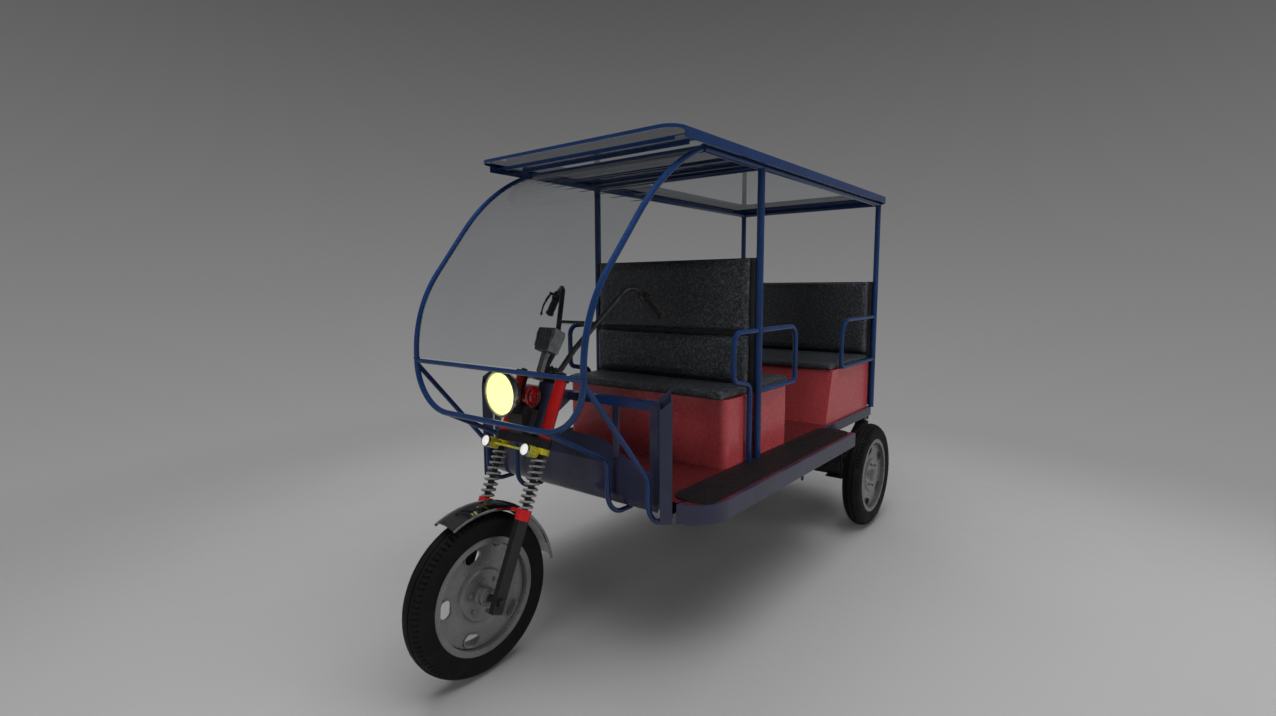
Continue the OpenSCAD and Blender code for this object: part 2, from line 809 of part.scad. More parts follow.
// Axle tube with brake drums, a gear housing in the middle and a saddle under each spring.
module rear_axle() {
    y = rear_wheel_y - rear_hub - 1;
    color(black) at_axle() translate([0, 0, tyre_r]) {
        rotate([-90, 0, 0]) translate([0, 0, -y + 30]) cylinder(h = 2 * y - 60, d = axle_d);
        both() rotate([-90, 0, 0]) {
            translate([0, 0, y - 32]) cylinder(h = 32, d = 190);
            translate([0, 0, y - 2]) cylinder(h = 2 * rear_hub + 3, d = 32);
        }
        rotate([-90, 0, 0]) translate([0, 0, -70]) cylinder(h = 140, d = 190);
        both() block([-45, leaf_y - 34, 0], [45, leaf_y + 34, leaf_low - tyre_r - weld_gap]);
    }
}

// Motor with cooling ribs round its case.
module drive_motor() {
    color([0.3, 0.31, 0.33]) at_axle() translate([0, 0, tyre_r]) rotate([0, 90, 0]) {
        translate([0, 0, 95.3]) cylinder(h = 230, d = 160);
        for (i = [0 : 6]) {
            translate([0, 0, 125.3 + 26 * i]) cylinder(h = 10, d = 172);
        }
        translate([0, 0, 325]) cylinder(h = 18, d = 110);
    }
}

// Side view of one spring leaf; the longest one ends in two rolled eyes.
module leaf_shape(i) {
    r0 = (leaf_reach * leaf_reach + leaf_sag * leaf_sag) / (2 * leaf_sag);
    r = r0 + leaf_pitch * i;
    w = leaf_reach * (1 - 0.2 * i);
    translate([0, r0 - leaf_sag]) intersection() {
        difference() {
            circle(r = r + leaf_t, $fn = 128);
            circle(r = r, $fn = 128);
        }
        translate([-w, -r - 50]) square([2 * w, 50 + leaf_sag + 40]);
    }
    if (i == 0) {
        for (x = [-leaf_reach, leaf_reach]) {
            translate([x, -6]) circle(r = eye_r);
        }
    }
}

// A stack of curved leaves under each side rail.
module leaf_springs() {
    color(black) at_axle() both() translate([0, 0, eye_z]) {
        for (i = [0 : leaves - 1]) {
            side_profile(leaf_y - 30, leaf_y + 30) leaf_shape(i);
        }
    }
}

// Steering

// Fixed head tube with a gusset back to the shield bar.
module steering_neck() {
    back = bar_x + bar_side / 2 + weld_gap;
    top = fork_at(-fork_offset, 0, head_low + head_h - 6);
    low = fork_at(-fork_offset, 0, head_low + 6);
    color(slate) difference() {
        union() {
            at_fork() translate([-fork_offset, 0, head_low]) cylinder(h = head_h, d = head_d);
            at_axle() {
                side_profile(-14, 14) {
                    polygon([
                        [back, bar_z - bar_side / 2],
                        [back, bar_z + bar_side / 2],
                        flat(top),
                        flat(low)
                    ]);
                }
                block([back, -50, bar_z - bar_side / 2], [back + 6, 50, bar_z + bar_side / 2]);
            }
        }
        at_fork() translate([-fork_offset, 0, low_yoke]) cylinder(h = 400, d = stem_d + 2 * running_fit);
    }
}

// Plan of a yoke: an eye for each leg and one for the shaft.
module yoke_plan() {
    for (y = [-leg_y, leg_y]) {
        translate([0, y]) circle(r = 28);
    }
    translate([-fork_offset, 0]) circle(r = 34);
    translate([-16, -leg_y]) square([32, 2 * leg_y]);
    polygon([[-fork_offset - 20, -25], [-fork_offset - 20, 25], [10, leg_y], [10, -leg_y]]);
}

// Two yokes on the steering shaft, with the lamp bracket in front and the handlebar clamp on top.
module fork_yokes() {
    deck = low_yoke + yoke_t;
    color(black) difference() {
        at_fork() {
            translate([0, 0, low_yoke]) linear_extrude(yoke_t) yoke_plan();
            translate([0, 0, top_yoke]) linear_extrude(top_yoke_t) yoke_plan();
            translate([-fork_offset, 0, deck - 1]) cylinder(h = top_yoke - deck + 2, d = stem_d);
            block([3, -36, deck - 1], [72, 36, deck + 92]);
            block([26, -12, deck + 90], [66, 12, deck + 146]);
            block([40, -12, deck + 112], [118, 12, deck + 146]);
            block([-fork_offset - 17, -14, bar_t - 18], [-fork_offset + 17, 14, bar_t + 17]);
        }
        at_fork() rotate([90, 0, 0]) translate([-fork_offset, bar_t, -100]) {
            cylinder(h = 200, d = grip_bar_d + 2 * weld_gap);
        }
        at_axle() block([lamp_x - lamp_depth - weld_gap, -200, 0], [lamp_x + 200, 200, roof_z]);
    }
}

// Upper fork tubes, and the clamps under the springs with tabs to the mudguard.
module fork_tubes() {
    tab_z = tyre_r + guard_gap + 1;
    foot = low_yoke + yoke_t + weld_gap;
    color(bright_red) at_fork() both() {
        translate([0, leg_y, foot]) cylinder(h = top_yoke - weld_gap - foot, d = 42);
        difference() {
            union() {
                translate([0, leg_y, leg_top + weld_gap]) cylinder(h = clamp_h, d = 50);
                block([-14, guard_y + weld_gap, tab_z], [14, leg_y - 16, tab_z + 10]);
            }
            translate([0, leg_y, leg_top - 10]) cylinder(h = 100, d = rod_d + 2 * weld_gap);
        }
    }
}

module fork_legs() {
    color(grey) at_fork() both() {
        block([-22, leg_y - 10, -38], [22, leg_y + 10, leg_top]);
        translate([0, leg_y, leg_top - 1]) cylinder(h = low_yoke - leg_top + 1 - weld_gap, d = rod_d);
        rotate([-90, 0, 0]) translate([0, 0, -1]) cylinder(h = leg_y, d = 20);
    }
}

// One coil spring as a swept helix with flat ends.
module coil(h, r, wire, turns) {
    sides = 8;
    steps = turns * 14;
    pts = [for (i = [0 : steps]) for (j = [0 : sides - 1])
        let (a = 360 * turns * i / steps, b = 360 * j / sides, q = r + wire * cos(b))
        [q * cos(a), q * sin(a), wire + (h - 2 * wire) * i / steps + wire * sin(b)]];
    body = [for (i = [0 : steps - 1]) for (j = [0 : sides - 1])
        [i * sides + j, i * sides + (j + 1) % sides, (i + 1) * sides + (j + 1) % sides, (i + 1) * sides + j]];
    cap_a = [for (j = [sides - 1 : -1 : 0]) j];
    cap_b = [for (j = [0 : sides - 1]) steps * sides + j];
    polyhedron(points = pts, faces = concat([cap_a], body, [cap_b]));
}

module fork_springs() {
    color(chrome) at_fork() both() translate([0, leg_y, spring_low]) {
        coil(spring_top - spring_low - weld_gap, 20, 3.2, spring_turns);
    }
}

// Half of the mudguard's section, with a crown that curves across the wheel, drawn in by t.
module guard_section(t) {
    crown = tyre_r + guard_gap + guard_rise;
    intersection() {
        translate([crown - 90, 0]) circle(r = 90 - t, $fn = 128);
        translate([tyre_r + guard_gap - t, -guard_y + t]) square([60, 2 * guard_y - 2 * t]);
    }
}

module front_mudguard() {
    color(chrome) at_axle() translate([wheelbase, 0, tyre_r]) rotate([90, 0, 0]) rotate([0, 0, 64.5]) {
        rotate_extrude(angle = 108.5, $fn = 128) difference() {
            guard_section(0);
            guard_section(2);
        }
    }
}

// Headlight shell with a stepped rim.
module headlight() {
    r = headlight_d / 2;
    color(black) at_axle() translate([lamp_x, 0, lamp_z]) rotate([0, -90, 0]) rotate_extrude($fn = 96) {
        polygon([[0, 10], [r - 6, 10], [r - 6, 0], [r, 0], [r + 1, 4], [r, 14], [r - 10, 34], [r - 36, 56],
            [r - 50, lamp_depth], [0, lamp_depth]]);
    }
}

// Domed lens of radius r and height h above a flat back at depth t.
module dome(r, h, t) {
    ball = (r * r + h * h) / (2 * h);
    rotate_extrude($fn = 96) intersection() {
        translate([0, h - ball]) circle(r = ball, $fn = 128);
        translate([0, -t]) square([r, t + h + 1]);
    }
}

module headlight_lens() {
    color(lens) at_axle() translate([lamp_x, 0, lamp_z]) rotate([0, 90, 0]) {
        dome(headlight_d / 2 - 6 - weld_gap, 11, 10 - weld_gap);
    }
}

// Disc horn on the side of the lamp bracket.
module horn() {
    z = low_yoke + yoke_t + 132;
    color(bright_red) at_fork() translate([46, 12 + weld_gap, z]) rotate([-90, 0, 0]) {
        cylinder(h = 8, d = 26);
        translate([0, 0, 7]) cylinder(h = 16, d = 74);
        translate([0, 0, 22]) cylinder(h = 8, d = 50);
        translate([0, 0, 29]) cylinder(h = 5, d = 22);
    }
}

// Indicators: a collar on each fork rod, a lamp body in front of it, and a rod between the two.
module indicators() {
    z = spring_top + 2;
    color([0.75, 0.72, 0.1]) at_fork() {
        both() difference() {
            union() {
                translate([0, leg_y, spring_top + weld_gap]) cylinder(h = collar_h, d = 58);
                translate([26, leg_y, z]) rotate([0, 90, 0]) cylinder(h = 44, d = 38);
            }
            translate([0, leg_y, spring_top - 20]) cylinder(h = 100, d = rod_d + 2 * weld_gap);
            translate([0, leg_y, spring_top - 40]) cylinder(h = 40 + weld_gap, d = 52);
        }
        rotate([90, 0, 0]) translate([50, z, -leg_y + 12]) cylinder(h = 2 * leg_y - 24, d = 8);
    }
}

module indicator_lenses() {
    color([1, 1, 1]) at_fork() both() translate([78, leg_y, spring_top + 2]) rotate([0, 90, 0]) {
        dome(18, 7, 8 - weld_gap);
    }
}

// Points of the left half of the handlebar, from its end down to the clamp.
function bar_points() = let (base = fork_at(-fork_offset, 0, bar_t)) [
    base + [-279, grip_y, 201],
    base + [-254, grip_y - 110, 332],
    base + [-72, 46, 77],
    base + [0, 38, 0]
];
function other_side(p) = [p[0], -p[1], p[2]];

module handlebar() {
    p = bar_points();
    low = p[2] + 0.38 * (p[1] - p[2]);
    color(chrome) at_axle() {
        bent([p[0], p[1], p[2], p[3], other_side(p[3]), other_side(p[2]), other_side(p[1]), other_side(p[0])],
            [50, 60, 24, 24, 60, 50], grip_bar_d);
        difference() {
            bar(other_side(low), low, 12);
            both() bar(p[1], p[2], grip_bar_d + 2 * weld_gap);
        }
    }
}

// Rubber grips, and a brake lever on a clamp beside each.
module hand_controls() {
    p = bar_points();
    g = unit(p[1] - p[0]);
    hold = p[0] + 97 * g;
    bore = grip_bar_d + 2 * weld_gap;
    color(black) at_axle() both() {
        difference() {
            bar(p[0] - 6 * g, p[0] + 84 * g, 31);
            bar(p[0] - weld_gap * g, p[0] + 140 * g, bore);
        }
        difference() {
            union() {
                bar(p[0] + 89 * g, p[0] + 105 * g, 34);
                bent([hold + [13, 0, 1], hold + [40, 0, 5], p[0] + 4 * g + [52, 0, -6]], [14], 9);
            }
            bar(p[0] - weld_gap * g, p[0] + 140 * g, bore);
        }
    }
}

// Instrument pod on a short stalk: wider at the top, with a hood.
module instrument_pod() {
    z = top_yoke + top_yoke_t;
    top = z + 160;
    color(grey) at_fork() {
        front_profile(-14, 40) {
            polygon([[-33, z + 76], [33, z + 76], [46, z + 140], [40, top], [-40, top], [-46, z + 140]]);
        }
        block([6, -12, z + weld_gap], [22, 12, z + 78]);
    }
}

front_tyre();
front_rim();
rear_tyre_left();
rear_rim_left();
rear_tyre_right();
rear_rim_right();
floor_pan();
floor_deck();
chassis_rails();
floor_mats();
leg_shield();
shield_bar();
roof_frame();
roof_rim();
roof_slats();
windscreen_arcs();
front_loop();
windscreen_pane();
shield_braces();
front_seat_box();
rear_seat_box();
battery_pack();
seat_boards();
driver_pad();
middle_pad();
rear_pad();
driver_back();
upper_back();
middle_back();
rear_back();
armrests();
rear_axle();
drive_motor();
leaf_springs();
steering_neck();
fork_yokes();
fork_tubes();
fork_legs();
fork_springs();
front_mudguard();
headlight();
headlight_lens();
horn();
indicators();
indicator_lenses();
handlebar();
hand_controls();
instrument_pod();
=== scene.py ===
import json
import math

import bmesh
import bpy
from mathutils import Matrix, Vector


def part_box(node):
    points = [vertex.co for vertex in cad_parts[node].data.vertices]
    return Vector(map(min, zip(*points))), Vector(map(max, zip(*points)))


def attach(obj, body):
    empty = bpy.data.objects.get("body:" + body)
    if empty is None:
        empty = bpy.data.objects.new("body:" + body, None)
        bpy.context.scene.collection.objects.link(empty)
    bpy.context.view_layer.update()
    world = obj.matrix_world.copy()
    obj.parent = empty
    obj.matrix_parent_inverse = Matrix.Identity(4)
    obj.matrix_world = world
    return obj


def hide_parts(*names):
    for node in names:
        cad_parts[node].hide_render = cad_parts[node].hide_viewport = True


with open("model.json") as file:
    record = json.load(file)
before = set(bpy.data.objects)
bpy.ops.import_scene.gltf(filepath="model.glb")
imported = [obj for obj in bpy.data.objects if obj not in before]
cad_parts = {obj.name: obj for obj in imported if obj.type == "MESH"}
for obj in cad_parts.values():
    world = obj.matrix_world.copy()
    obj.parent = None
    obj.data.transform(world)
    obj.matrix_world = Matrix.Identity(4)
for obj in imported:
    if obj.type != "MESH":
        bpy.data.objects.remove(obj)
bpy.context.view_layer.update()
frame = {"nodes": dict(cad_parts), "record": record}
JOINTS = {j["name"]: j for j in frame["record"]["behaviour"]["joints"]}

bl_info = {
    "name": "Electric rickshaw",
    "version": (1, 0, 0),
    "blender": (4, 5, 0),
    "location": "3D View > Sidebar > Rickshaw",
    "description": "Surfaces, trim and cushions of a three-wheeled electric rickshaw",
    "category": "Object",
}


# Properties


def colour_prop(label, text, value):
    return bpy.props.FloatVectorProperty(
        name=label, description=text, default=value, size=3, min=0.0, max=1.0, subtype="COLOR"
    )


def length_prop(label, text, value):
    return bpy.props.FloatProperty(
        name=label, description=text, default=value, min=0.0, unit="LENGTH", precision=4
    )


def count_prop(label, text, value):
    return bpy.props.IntProperty(name=label, description=text, default=value)


class RickshawColours(bpy.types.PropertyGroup):
    navy: colour_prop("Tube blue", "Paint of the roof, windscreen and armrest tubes", (0.006, 0.025, 0.094))
    slate: colour_prop("Panel blue", "Paint of the floor, chassis and leg shield", (0.023, 0.025, 0.050))
    seat_red: colour_prop("Seat box red", "Paint of the seat boxes and the deck", (0.36, 0.050, 0.056))
    fork_red: colour_prop("Fork red", "Paint of the fork tubes and the horn", (0.42, 0.009, 0.010))
    vinyl: colour_prop("Vinyl", "Cover of the cushions", (0.028, 0.031, 0.035))
    rubber: colour_prop("Rubber", "Tyres, mats and grips", (0.006, 0.006, 0.0065))
    wheel: colour_prop("Wheel grey", "Paint of the wheel discs", (0.21, 0.21, 0.212))
    lamp: colour_prop("Lamp yellow", "Glow of the headlight", (1.0, 1.0, 0.36))
    amber: colour_prop("Indicator yellow", "Body of the indicators", (0.50, 0.45, 0.02))
    glass: colour_prop("Glass", "Tint of the windscreen", (0.84, 0.86, 0.88))
    roof_glass: colour_prop("Roof glass", "Tint of the clear roof sheet", (0.60, 0.62, 0.64))
    floor: colour_prop("Studio floor", "Colour of the floor under the vehicle", (0.30, 0.30, 0.30))


class RickshawSizes(bpy.types.PropertyGroup):
    tread_depth: length_prop("Tread depth", "Depth of the shoulder grooves of the tyres", 0.0007)
    tread_pitch: count_prop("Tread grooves", "Shoulder grooves round a tyre", 90)
    bolt_size: length_prop("Wheel bolt", "Width of the wheel bolts across their corners", 0.013)
    bolt_circle: length_prop("Bolt circle", "Radius of the circle of wheel bolts", 0.060)
    coil_wire: length_prop("Spring wire", "Radius of the wire of the fork springs", 0.0038)
    coil_radius: length_prop("Spring radius", "Radius of the fork springs at the middle of the wire", 0.022)
    coil_turns: count_prop("Spring turns", "Turns of each fork spring", 9)
    rib_pitch: length_prop("Mat ribs", "Distance between the ribs of the mats", 0.0125)
    pad_inset: length_prop("Pad inset", "How far a cushion starts inside its space before it fills", 0.005)
    pad_cap: length_prop("Pad swell", "Most that a cushion may swell", 0.0075)
    bead: length_prop("Weld bead", "Radius of the weld beads", 0.0022)
    sheet: length_prop("Roof sheet", "Thickness of the clear sheet in the roof rim", 0.004)
    sheet_inset: length_prop("Sheet inset", "From the outside of the roof rim to the clear sheet", 0.0032)
    sheet_corner: length_prop("Sheet corner", "Corner radius of the clear roof sheet", 0.057)


# Shapes


def axis_matrix(origin, direction):
    """Frame at origin whose Z axis points along direction."""
    turn = Vector(direction).normalized().to_track_quat("Z", "Y").to_matrix().to_4x4()
    return Matrix.Translation(Vector(origin)) @ turn


def fork_matrix():
    """Fork coordinates: origin on the front axle, Z up the fork, X forward."""
    up = Vector(JOINTS["steering"]["axis"]).normalized()
    side = Vector((0, 1, 0))
    ahead = side.cross(up)
    m = Matrix((ahead, side, up)).transposed().to_4x4()
    m.translation = Vector(JOINTS["front_wheel_spin"]["pos_m"])
    return m


FORK = fork_matrix()
TO_FORK = FORK.inverted()
TURN = 2 * math.pi
SEAT_GAP = 0.0003  # between a bolt and the face that it sits on


def points(node):
    return [v.co for v in frame["nodes"][node].data.vertices]


def fork_points(node):
    """A solid's vertices in fork coordinates."""
    return [TO_FORK @ p for p in points(node)]


def middle_side(spots):
    """Distance from the middle plane to the middle of a mirrored pair."""
    left = [p.y for p in spots if p.y > 0]
    return (max(left) + min(left)) / 2


def spoke(degrees):
    """Direction across a wheel axle."""
    a = math.radians(degrees)
    return Vector((math.cos(a), 0, math.sin(a)))


def edges_of(verts):
    return list({e for v in verts for e in v.link_edges})


def soften(bm, edges, offset, segments):
    """Rounds edges and returns the new faces."""
    return bmesh.ops.bevel(
        bm, geom=edges, offset=offset, offset_type="OFFSET", affect="EDGES", segments=segments, profile=0.5,
        material=-1,
    )["faces"]


def spin(bm, geom, angle, steps, merge, centre=(0, 0, 0), axis=(0, 0, 1), rise=0.0):
    """Sweeps edges about an axis, with a rise along Z at each step."""
    bmesh.ops.spin(
        bm, geom=geom, cent=centre, axis=axis, dvec=(0, 0, rise), angle=angle, steps=steps,
        use_merge=merge, use_duplicate=False,
    )


def close_ends(bm, before, sides):
    """Caps a bar made since before and returns its vertices."""
    made = [v for v in bm.verts if v not in before]
    bmesh.ops.holes_fill(bm, edges=[e for e in edges_of(made) if e.is_boundary], sides=sides)
    return made


def add_rod(bm, a, b, radius, segments, radius_end=None):
    a, b = Vector(a), Vector(b)
    end = radius if radius_end is None else radius_end
    m = axis_matrix((a + b) / 2, b - a)
    return bmesh.ops.create_cone(
        bm, cap_ends=True, segments=segments, radius1=radius, radius2=end, depth=(b - a).length, matrix=m
    )["verts"]


def add_block(bm, lo, hi, soft=0.0, segments=2, matrix=None):
    """A block from lo to hi with softened edges, placed by matrix."""
    lo, hi = Vector(lo), Vector(hi)
    m = Matrix.Translation((lo + hi) / 2) @ Matrix.Diagonal((*(hi - lo), 1.0))
    verts = bmesh.ops.create_cube(bm, size=1.0, matrix=m)["verts"]
    if soft:
        made = soften(bm, edges_of(verts), soft, segments)
        verts = list({v for f in made for v in f.verts} | {v for v in verts if v.is_valid})
    if matrix is not None:
        bmesh.ops.transform(bm, matrix=matrix, verts=verts)
    return verts


def add_turned(bm, outline, matrix, steps):
    """Turns an outline of radius and height about Z and places it. Its ends may lie on the axis."""
    before = set(bm.verts)
    verts = [bm.verts.new((r, 0.0, z)) for r, z in outline]
    closed = outline[0][0] > 1e-6 and outline[-1][0] > 1e-6
    pairs = list(zip(verts, verts[1:])) + ([(verts[-1], verts[0])] if closed else [])
    edges = [bm.edges.new(p) for p in pairs]
    spin(bm, verts + edges, TURN, steps, True)
    made = [v for v in bm.verts if v not in before]
    bmesh.ops.remove_doubles(bm, verts=made, dist=1e-6)
    made = [v for v in bm.verts if v not in before]
    bmesh.ops.transform(bm, matrix=matrix, verts=made)


def add_ring(bm, centre, axis, radius, thick, steps, around, start=None, angle=TURN):
    """A round bead of radius thick swept about an axis, from the direction start through angle."""
    centre, axis = Vector(centre), Vector(axis).normalized()
    out = Vector(start).normalized() if start is not None else axis.orthogonal().normalized()
    m = Matrix((out, axis, out.cross(axis))).transposed().to_4x4()
    m.translation = centre + radius * out
    before = set(bm.verts)
    wire = bmesh.ops.create_circle(bm, cap_ends=False, segments=around, radius=thick, matrix=m)["verts"]
    whole = angle == TURN
    spin(bm, wire + edges_of(wire), angle, steps, whole, centre, axis)
    if not whole:
        close_ends(bm, before, around)


def add_sweep(bm, path, radii, around, flat, up):
    """A round or flattened bar extruded ring by ring along a path."""
    for i, p in enumerate(path):
        ahead = (path[min(i + 1, len(path) - 1)] - path[max(i - 1, 0)]).normalized()
        side = ahead.cross(Vector(up)).normalized()
        m = Matrix((side, side.cross(ahead), -ahead)).transposed().to_4x4()
        m.translation = p
        m = m @ Matrix.Diagonal((radii[i], radii[i] * flat, 1.0, 1.0))
        if i == 0:
            ring = bmesh.ops.create_circle(bm, cap_ends=True, segments=around, radius=1.0)["verts"]
            edges = edges_of(ring)
            bmesh.ops.transform(bm, matrix=m, verts=ring)
        else:
            new = bmesh.ops.extrude_edge_only(bm, edges=edges)["geom"]
            ring = [g for g in new if isinstance(g, bmesh.types.BMVert)]
            edges = [g for g in new if isinstance(g, bmesh.types.BMEdge)]
            bmesh.ops.transform(bm, matrix=m @ last.inverted(), verts=ring)
        last = m
    bmesh.ops.holes_fill(bm, edges=edges, sides=around)


def add_bolt(bm, base, direction, size, height):
    """A hexagon head on a washer with a softened top."""
    base, direction = Vector(base), Vector(direction).normalized()
    washer = [(0, 0), (size * 0.62, 0), (size * 0.62, height * 0.2), (0, height * 0.2)]
    add_turned(bm, washer, axis_matrix(base, direction), 18)
    head = add_rod(bm, base + direction * height * 0.19, base + direction * height, size * 0.5, 6)
    high = {v for v in head if (v.co - base).dot(direction) > height * 0.9}
    soften(bm, [e for e in edges_of(head) if all(v in high for v in e.verts)], height * 0.16, 2)


def finish_piece(bm, name, materials, body, smooth=35.0):
    """Turns a bmesh into an object that rides on a body and takes a record slot's finish."""
    bmesh.ops.recalc_face_normals(bm, faces=bm.faces[:])
    mesh = bpy.data.meshes.new(name)
    bm.to_mesh(mesh)
    bm.free()
    obj = bpy.data.objects.new(name, mesh)
    bpy.context.scene.collection.objects.link(obj)
    for m in materials if isinstance(materials, (list, tuple)) else [materials]:
        mesh.materials.append(m)
    mesh.shade_smooth()
    mesh.set_sharp_from_angle(angle=math.radians(smooth))
    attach(obj, body)
    return obj


def set_faces(bm, before, index):
    """Gives the faces made since before a material index."""
    for f in bm.faces:
        if f not in before:
            f.material_index = index


# Surfaces

RANGE = ("From Min", "From Max", "To Min", "To Max")


class Surface:
    """A material on Object coordinates whose parts are added one by one."""

    def __init__(self, name):
        self.mat = bpy.data.materials.new(name)
        self.mat.use_nodes = True
        self.tree = self.mat.node_tree
        self.bsdf = self.tree.nodes["Principled BSDF"]
        self.coords = self.tree.nodes.new("ShaderNodeTexCoord").outputs["Object"]
        self.height = None

    def set(self, **values):
        for key, value in values.items():
            socket = self.bsdf.inputs[key.replace("_", " ").title().replace("Ior", "IOR")]
            socket.default_value = (*value, 1.0) if isinstance(value, tuple) else value
        return self

    def noise(self, scale, detail=3.0, rough=0.55, stretch=(1, 1, 1)):
        place = self.tree.nodes.new("ShaderNodeMapping")
        place.inputs["Scale"].default_value = stretch
        tex = self.tree.nodes.new("ShaderNodeTexNoise")
        tex.inputs["Scale"].default_value = scale
        tex.inputs["Detail"].default_value = detail
        tex.inputs["Roughness"].default_value = rough
        self.tree.links.new(self.coords, place.inputs["Vector"])
        self.tree.links.new(place.outputs["Vector"], tex.inputs["Vector"])
        return tex.outputs["Fac"]

    def cells(self, scale):
        tex = self.tree.nodes.new("ShaderNodeTexVoronoi")
        tex.inputs["Scale"].default_value = scale
        self.tree.links.new(self.coords, tex.inputs["Vector"])
        return tex.outputs["Distance"]

    def colour(self, value, stops):
        node = self.tree.nodes.new("ShaderNodeValToRGB")
        while len(node.color_ramp.elements) < len(stops):
            node.color_ramp.elements.new(0.5)
        for element, (place, colour) in zip(node.color_ramp.elements, stops):
            element.position = place
            element.color = (*colour, 1.0)
        self.tree.links.new(value, node.inputs["Fac"])
        self.tree.links.new(node.outputs["Color"], self.bsdf.inputs["Base Color"])
        return self

    def rough(self, value, low, high):
        node = self.tree.nodes.new("ShaderNodeMapRange")
        for name, number in zip(RANGE, (0.3, 0.7, low, high)):
            node.inputs[name].default_value = number
        self.tree.links.new(value, node.inputs["Value"])
        self.tree.links.new(node.outputs["Result"], self.bsdf.inputs["Roughness"])
        return self

    def bump(self, value, strength, depth):
        node = self.tree.nodes.new("ShaderNodeBump")
        node.inputs["Strength"].default_value = strength
        node.inputs["Distance"].default_value = depth
        self.tree.links.new(value, node.inputs["Height"])
        if self.height is not None:
            self.tree.links.new(self.height, node.inputs["Normal"])
        self.height = node.outputs["Normal"]
        self.tree.links.new(self.height, self.bsdf.inputs["Normal"])
        return self


def shade(colour, factor):
    return tuple(min(1.0, c * factor) for c in colour)


def shades(colour, *stops):
    """Ramp stops that lighten or darken one colour."""
    return [(place, shade(colour, factor)) for place, factor in stops]


def blend(name, tint, stops, grain, rough, relief, bump, **values):
    """A surface of three noises: tint for the colour stops, grain for roughness, relief for bump."""
    s = Surface(name)
    s.colour(s.noise(*tint), stops)
    s.rough(s.noise(*grain), *rough)
    return s.bump(s.noise(*relief), *bump).set(**values).mat


def paint(name, colour, low, high, wear, coat=0.12):
    """Brushed-on gloss paint with road dust and small rubbed spots."""
    stops = shades(colour, (0.20, 0.72), (0.52, 1.0), (0.74, 1.18)) + [(0.83, wear)]
    return blend(
        name, (7.0, 8.0, 0.62), stops, (22.0, 5.0), (low, high), (90.0, 2.0), (0.05, 0.0006),
        coat_weight=coat, coat_roughness=0.06, specular_ior_level=0.35,
    )


